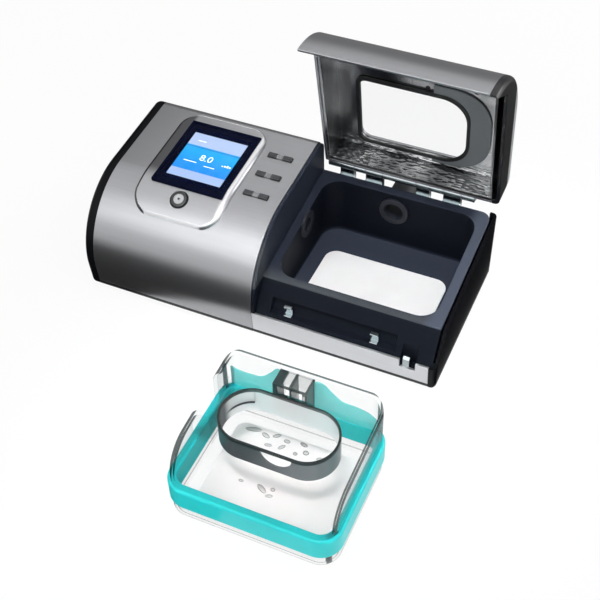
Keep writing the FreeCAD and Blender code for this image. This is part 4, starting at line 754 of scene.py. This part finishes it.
DIAL_ANGLE = math.radians(24.8)
DIAL_X, DIAL_LIFT = -73.5 * MM, NOSE_RADIUS + 4.3 * MM
DIAL_PROFILE = ((0.0, 0.3, 0), (0.9, 0.3, 0), (1.1, -0.5, 1), (3.6, -0.6, 1), (4.1, 0.0, 1),
                (4.4, 0.1, 0), (5.9, 0.0, 0), (6.35, -0.5, 0), (6.4, -1.2, 0), (6.4, -7.4, 0),
                (2.0, -7.6, 0), (2.0, -9.0, 0), (0.0, -9.0, 0))
dial = turned(DIAL_PROFILE)
bmesh.ops.transform(dial, verts=dial.verts, matrix=deck_frame(DIAL_ANGLE)
                    @ Matrix.Translation((DIAL_X, 0.0, DIAL_LIFT)))
power_button = keep(dial, "round_button", (ring_dark, button_grey), "power_key")
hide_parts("power_button")
print("round button faces:", len(power_button.data.polygons))

# %% [markdown]
# Numbers on the screen are the only lettering.  A text object is turned into a mesh before it
# is placed, and then laid under the lens, on the sloping face of the display.

# %% Numbers and bars on the screen
SCREEN_LIFT = NOSE_RADIUS + 2.925 * MM


def on_screen(shape, x, along):
    matrix = deck_frame(DECK_SLOPE) @ Matrix.Translation((x * MM, along * MM, SCREEN_LIFT))
    bmesh.ops.transform(shape, verts=shape.verts, matrix=matrix)
    return shape


def digits(words, size, x, along):
    letters = bpy.data.curves.new("digits", "FONT")
    letters.body = words
    letters.size = size * MM
    letters.align_x = "CENTER"
    holder = bpy.data.objects.new("digits", letters)
    shape = bmesh.new()
    shape.from_mesh(bpy.data.meshes.new_from_object(holder))
    bpy.data.objects.remove(holder)
    return on_screen(shape, x, along)


def bar(width, depth, x, along):
    shape = bmesh.new()
    sides = Matrix.Diagonal((width * MM, depth * MM, 0.03 * MM, 1.0))
    bmesh.ops.create_cube(shape, size=1.0, matrix=sides)
    round_over(shape, 0.01, 1)
    return on_screen(shape, x, along)


screen_white = Finish("screen_white", paint("eef6ff"), 0.3, Emission_Strength=0.6)
screen_white.set(Emission_Color=screen_white.mix(screen_white.noise(400.0), paint4("ffffff"),
                                                 paint4("cfe6ff")))
keep(digits("8.0", 9.0, -72.0, 17.5), "screen_number", screen_white, "housing")
for index, height in enumerate((1.2, 1.8, 2.4, 1.6)):
    keep(bar(1.3, height, -57.0 + index * 2.1, 17.0 + height / 2), f"screen_bar_{index}",
         screen_white, "housing")
RULES = ((11.0, -83.0, 14.2), (9.0, -66.0, 12.6), (7.0, -84.0, 37.5))
for index, (width, x, along) in enumerate(RULES):
    keep(bar(width, 0.8, x, along), f"screen_rule_{index}", screen_white, "housing")
print("screen marks laid")

# %% [markdown]
# Everything inside the lid is drawn on its lining as if the lid were shut: x runs along the
# hinge, `along` runs over the skin from its crest towards the hinge, and `drop` is the depth
# below the outer skin.  Past the crest the skin bends down round the nose, so a piece that
# crosses the crest bends with it.  The lid is then swung open by 86 degrees.

# %% The open lid's frame
HINGE = Vector((0.0, 72.2 * MM, 69.5 * MM))
OPEN_LID = (Matrix.Translation(HINGE) @ Matrix.Rotation(math.radians(-86.0), 4, "X")
            @ Matrix.Translation(-HINGE))


def under_lid(point):
    """Move a point (x, along, -drop) from the flat drawing onto the open lid."""
    x, along, lift = point
    lean = DECK_SLOPE - min(along, 0.0) / NOSE_RADIUS
    outward = Vector((0.0, -math.sin(lean), math.cos(lean)))
    back = Vector((0.0, math.cos(DECK_SLOPE), math.sin(DECK_SLOPE)))
    place = Vector((x, NOSE_Y, NOSE_Z)) + (NOSE_RADIUS + lift) * outward + max(along, 0.0) * back
    return OPEN_LID @ place


def lay_under_lid(shape):
    for vert in shape.verts:
        vert.co = under_lid(vert.co)
    bmesh.ops.recalc_face_normals(shape, faces=shape.faces)
    return shape


print("lid lining starts", round(under_lid((0, 0, -6 * MM)).z, 4), "above the table")

# %% [markdown]
# A flat grey panel holds the window's pane on its right side, with two wide round corners, and
# a thin black gasket runs round the whole hole.  Each outline starts as four vertices whose
# corners are rounded by a vertex bevel.  A bridge joins the outer outline to the hole, a cut
# removes what lies left of the panel's end, and a solidify gives the sheet its thickness.

# %% Window panel
def rounded_outline(shape, x, y, radii, z, segments=10):
    """Four corners, each rounded by its own radius; returns the edges of the loop."""
    before = set(shape.verts)
    corners = [shape.verts.new((u * MM, v * MM, z * MM)) for u, v in
               ((x[0], y[0]), (x[1], y[0]), (x[1], y[1]), (x[0], y[1]))]
    shape.faces.new(corners)
    for corner, radius in zip(corners, radii):
        bmesh.ops.bevel(shape, geom=[corner], offset=radius * MM, offset_type="OFFSET",
                        affect="VERTICES", segments=segments, profile=0.5, material=-1)
    sheet = next(face for face in shape.faces if not before & set(face.verts))
    edges = list(sheet.edges)
    bmesh.ops.delete(shape, geom=[sheet], context="FACES_ONLY")
    return edges


def framed_sheet(outer, hole, z, thick, bend_cuts=2, cut_at=None):
    """A sheet between two rounded outlines, cut off at its left end and given its thickness."""
    shape = bmesh.new()
    loops = rounded_outline(shape, *outer, z) + rounded_outline(shape, *hole, z)
    bmesh.ops.bridge_loops(shape, edges=loops)
    across = [edge for edge in shape.edges if edge not in loops]
    bmesh.ops.subdivide_edges(shape, edges=across, cuts=bend_cuts, use_grid_fill=True)
    if cut_at is not None:
        bmesh.ops.bisect_plane(shape, geom=shape.verts[:] + shape.edges[:] + shape.faces[:],
                               clear_inner=True, plane_co=(cut_at * MM, 0, 0),
                               plane_no=(1, 0, 0))
    bmesh.ops.recalc_face_normals(shape, faces=shape.faces)
    bmesh.ops.solidify(shape, geom=shape.faces[:], thickness=thick * MM)
    return shape


HOLE_X, HOLE_Y = (25.5, 110.5), (2.8, 64.6)
panel = framed_sheet(((20.0, 129.0), (-9.5, 70.0), (4.0, 30.0, 30.0, 4.0)),
                     (HOLE_X, HOLE_Y, (6.0, 20.0, 20.0, 6.0)), -7.4, 0.9, 2, 84.0)
window_panel = keep(lay_under_lid(panel), "window_panel", panel_grey, "lid")
rim_line = framed_sheet(((23.0, 113.0), (-0.6, 66.8), (7.5, 21.5, 21.5, 7.5)),
                        ((25.6, 110.4), (2.9, 64.5), (6.0, 20.0, 20.0, 6.0)), -7.9, 1.3, 1)
keep(lay_under_lid(rim_line), "window_gasket", rubber_black, "lid")
print("window panel faces:", len(window_panel.data.polygons))

# %% [markdown]
# Three small dark screws hold the lining, just past the crest.  Each is a turned head with a
# sunken socket.

# %% Lining screws
HEAD_PROFILE = ((0.0, 0.2, 0), (0.8, 0.2, 0), (0.9, 0.8, 0), (1.7, 0.7, 0), (1.9, 0.3, 0),
                (1.9, -0.4, 0), (0.0, -0.4, 0))
HEAD_LIFT = -6.2 * MM
for index, (x, along) in enumerate(((79.0, -3.0), (89.0, -11.5), (116.0, -12.0))):
    head = turned(HEAD_PROFILE, 20)
    bmesh.ops.rotate(head, verts=head.verts, cent=(0, 0, 0),
                     matrix=Matrix.Rotation(math.pi, 3, "X"))
    bmesh.ops.translate(head, verts=head.verts, vec=(x * MM, along * MM, HEAD_LIFT))
    keep(lay_under_lid(head), f"lining_screw_{index}", rubber_black, "lid")
print("lining screws set")

# %% [markdown]
# Two thin teal sheets lie on the back wall of the chamber's cover, one on each side of the
# outlet, as a painted refraction: they stand in for the ring's teal that the thick clear wall
# bends up into view.  They rise to the roof beside the outlet.  Each is one face, drawn by its
# corners, with the upper corners rounded and the sheet given its thickness.

# %% Teal sheets of painted refraction
REFRACTION_SHEET_WALL, ROUNDED_ABOVE = -137.0 * MM, 40.0 * MM
LEFT_REFRACTION_SHEET = ((19.0, 31.6), (19.0, 50.5), (24.0, 48.2), (32.0, 47.6), (41.0, 48.4),
             (45.0, 51.0), (50.0, 56.8), (54.0, 62.6), (57.0, 62.8), (57.0, 31.6))
RIGHT_REFRACTION_SHEET = ((82.0, 31.6), (82.0, 62.8), (89.0, 62.6), (94.5, 56.6), (102.0, 50.2),
              (114.0, 49.8), (122.0, 47.6), (128.0, 42.6), (128.0, 31.6))


# A sheet of painted refraction: the ring's teal, as seen through the thick clear wall.
def lay_refraction_sheet(corners, name):
    shape = bmesh.new()
    sheet = shape.faces.new([shape.verts.new((x * MM, REFRACTION_SHEET_WALL, z * MM)) for x, z in corners])
    upper = [vert for vert in sheet.verts if vert.co.z > ROUNDED_ABOVE]
    bmesh.ops.bevel(shape, geom=upper, offset=2.4 * MM, offset_type="OFFSET", affect="VERTICES",
                    segments=4, profile=0.5, material=-1, clamp_overlap=True)
    bmesh.ops.solidify(shape, geom=shape.faces[:], thickness=0.5 * MM)
    bmesh.ops.recalc_face_normals(shape, faces=shape.faces)
    return keep(shape, name, painted_teal_refraction, "chamber_cover_body")


for corners, name in ((LEFT_REFRACTION_SHEET, "left_refraction_sheet"), (RIGHT_REFRACTION_SHEET, "right_refraction_sheet")):
    lay_refraction_sheet(corners, name)
print("flaps hang on y =", REFRACTION_SHEET_WALL)

# %% [markdown]
# A few beads of water are left on the chamber's metal floor.  Each bead is a low turned dome,
# stretched and turned a little, because water creeps along a plate that is not quite clean.

# %% Water beads
PLATE_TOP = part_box("chamber_base_plate")[1][2]
BEAD_PROFILE = ((0.0, 0.42, 0), (0.45, 0.38, 0), (0.78, 0.24, 0), (0.96, 0.08, 0),
                (1.0, 0.0, 0), (0.0, 0.0, 0))
# Each bead is its place in X and Y, its half length, its half width and its turn in degrees.
BEADS = ((40.0, -149.0, 6.0, 1.9, 14.0), (50.0, -150.5, 3.4, 1.7, -20.0),
         (57.5, -147.8, 3.2, 1.5, 35.0), (66.0, -149.5, 2.4, 1.6, 0.0),
         (64.5, -155.5, 3.0, 1.4, 50.0), (78.0, -147.6, 3.0, 1.5, -12.0),
         (82.0, -153.5, 2.2, 2.0, 0.0), (75.5, -157.0, 1.6, 1.4, 0.0),
         (55.0, -157.5, 2.8, 1.3, 10.0), (92.5, -154.5, 2.2, 1.2, 25.0),
         (50.8, -191.6, 1.8, 1.1, 0.0), (66.5, -192.2, 4.6, 1.9, -30.0),
         (73.8, -190.0, 1.7, 1.5, 0.0), (73.5, -195.6, 2.6, 1.3, 20.0))
for index, (x, y, long, wide, angle) in enumerate(BEADS):
    bead = turned(BEAD_PROFILE, 20)
    matrix = (Matrix.Translation((x * MM, y * MM, PLATE_TOP))
              @ Matrix.Rotation(math.radians(angle), 4, "Z")
              @ Matrix.Diagonal((long, wide, wide, 1.0)))
    bmesh.ops.transform(bead, verts=bead.verts, matrix=matrix)
    keep(bead, f"water_bead_{index}", water, BODIES["chamber_base_plate"])
print("water beads:", len(BEADS))

# %% [markdown]
# A plain studio has one large soft lamp at the front left and a small one behind on the right,
# which draws the bright rim of the deck.  Two more with narrow beams look down into the well
# and the chamber, where the sky alone would leave the two plates grey, and a weak one fills the
# right side.

# %% Studio lamps
NARROW = math.radians(12.0)


def studio_lamp(name, place, aim, size, power, beam=None):
    """A rectangular lamp that looks at a point, with all its light or a narrow beam."""
    lamp = bpy.data.lights.new(name, "AREA")
    lamp.shape = "RECTANGLE"
    lamp.size, lamp.size_y = size
    lamp.energy = power
    if beam:
        lamp.spread = beam
    look = (Vector(aim) - Vector(place)).to_track_quat("-Z", "Y").to_matrix().to_4x4()
    add_object(name, lamp).matrix_world = Matrix.Translation(place) @ look


LAMPS = (
    ("soft_box", (-0.26, -0.90, 0.90), (0.0, -0.02, 0.05), (1.0, 0.8), 3.6, None),
    ("rim_lamp", (0.94, 0.82, 0.50), (0.0, 0.0, 0.05), (0.7, 0.5), 4.0, None),
    ("well_lamp", (0.18, -0.36, 1.10), (0.080, 0.0, 0.02), (0.30, 0.30), 0.185, NARROW),
    ("chamber_lamp", (0.12, -0.50, 1.10), (0.055, -0.180, 0.02), (0.30, 0.30), 0.095, NARROW),
    ("right_fill", (0.95, -0.55, 0.75), (0.0, 0.0, 0.03), (0.6, 0.6), 0.7, None),
)
for row in LAMPS:
    studio_lamp(*row)
print("lamps hung:", len(LAMPS))

# %% [markdown]
# The sky lights the object with a plain pale level.  A camera, gloss or transmission ray sees
# it as pure white instead.

# %% Sky
SKY_LEVEL = 0.85
WHITE_RAYS = ("Is Glossy Ray", "Is Transmission Ray")

world = bpy.data.worlds.new("studio_sky")
bpy.context.scene.world = world
world.use_nodes = True
sky = world.node_tree
ray_kind = sky.nodes.new("ShaderNodeLightPath")
seen = ray_kind.outputs["Is Camera Ray"]
for kind in WHITE_RAYS:
    either = sky.nodes.new("ShaderNodeMath")
    either.operation = "MAXIMUM"
    sky.links.new(seen, either.inputs[0])
    sky.links.new(ray_kind.outputs[kind], either.inputs[1])
    seen = either.outputs[0]
level = sky.nodes.new("ShaderNodeMapRange")
level.inputs["To Min"].default_value = SKY_LEVEL
level.inputs["To Max"].default_value = 1.0
sky.links.new(seen, level.inputs["Value"])
sky.nodes["Background"].inputs["Color"].default_value = (1, 1, 1, 1)
sky.links.new(level.outputs["Result"], sky.nodes["Background"].inputs["Strength"])
print("sky level", SKY_LEVEL)

# %% [markdown]
# The floor shows almost white to the same rays: a Mix Shader gives them mostly a white glow and
# leaves a little of the plain floor, which keeps the shadow.

# %% Floor
FLOOR_GLOW, FLOOR_REACH = 0.87, 4.0


def flat_piece(name, shape, finish):
    """An object from a bmesh with one finish."""
    mesh = bpy.data.meshes.new(name)
    shape.to_mesh(mesh)
    shape.free()
    mesh.materials.append(finish.material)
    return add_object(name, mesh)


floor_finish = Finish("studio_floor", (0.85, 0.85, 0.85), 0.9)
ray_now = floor_finish.node("ShaderNodeLightPath")
shown = ray_now.wire("Is Camera Ray")
for kind in WHITE_RAYS:
    shown = shown.most(ray_now.wire(kind))
glow = floor_finish.node("ShaderNodeEmission", {}, {"Color": (1, 1, 1, 1), "Strength": 1.0})
plain = Wire(floor_finish, floor_finish.shader.outputs[0])
lit_floor = floor_finish.node("ShaderNodeMixShader", {}, {0: shown * FLOOR_GLOW, 1: plain, 2: glow})
floor_finish.feed(floor_finish.output.inputs["Surface"], lit_floor)

floor_shape = bmesh.new()
bmesh.ops.create_grid(floor_shape, x_segments=1, y_segments=1, size=FLOOR_REACH)
floor = flat_piece("floor", floor_shape, floor_finish)
print("floor laid")

# %% [markdown]
# A photographer sets dark cards round shiny metal, to draw dark lines into its reflection.
# One lies on the table before the silver half, one lies and one stands behind the open lid, one
# stands far to the left, and one lies on the right.  Reflections alone see them, so they shade
# nothing else.

# %% Dark cards
def dark_card(name, level, corners):
    """A card that reflections see as a plain grey of one level."""
    finish = Finish(name, (0.0, 0.0, 0.0), 1.0, Specular_IOR_Level=0.0, Emission_Strength=1.0)
    finish.set(Emission_Color=(level, level, level, 1.0))
    shape = bmesh.new()
    shape.faces.new([shape.verts.new(corner) for corner in corners])
    card = flat_piece(name, shape, finish)
    for ray_type in ("camera", "diffuse", "transmission", "shadow"):
        setattr(card, "visible_" + ray_type, False)


TABLE = 0.5 * MM
CARDS = (
    ("front_card", 0.005, ((-0.45, 0.008, TABLE), (0.05, -0.0985, TABLE),
                           (0.05, -0.45, TABLE), (-0.45, -0.45, TABLE))),
    ("lid_card", 0.22, ((-0.60, 0.50, TABLE), (0.40, 0.50, TABLE),
                        (0.40, 0.55, 0.42), (-0.60, 0.55, 0.42))),
    ("behind_card", 0.10, ((-0.45, 0.14, TABLE), (0.30, 0.14, TABLE),
                           (0.30, 0.50, TABLE), (-0.45, 0.50, TABLE))),
    ("left_card", 0.02, ((-0.70, 0.15, TABLE), (-0.70, 0.15, 0.72),
                         (-0.38, 0.95, 0.72), (-0.38, 0.95, TABLE))),
    ("right_card", 0.01, ((0.147, -0.075, TABLE), (0.147, 0.36, TABLE),
                          (0.42, 0.36, TABLE), (0.42, -0.075, TABLE))),
)
for row in CARDS:
    dark_card(*row)
bpy.context.scene.view_settings.view_transform = "Standard"
print("cards set:", len(CARDS))
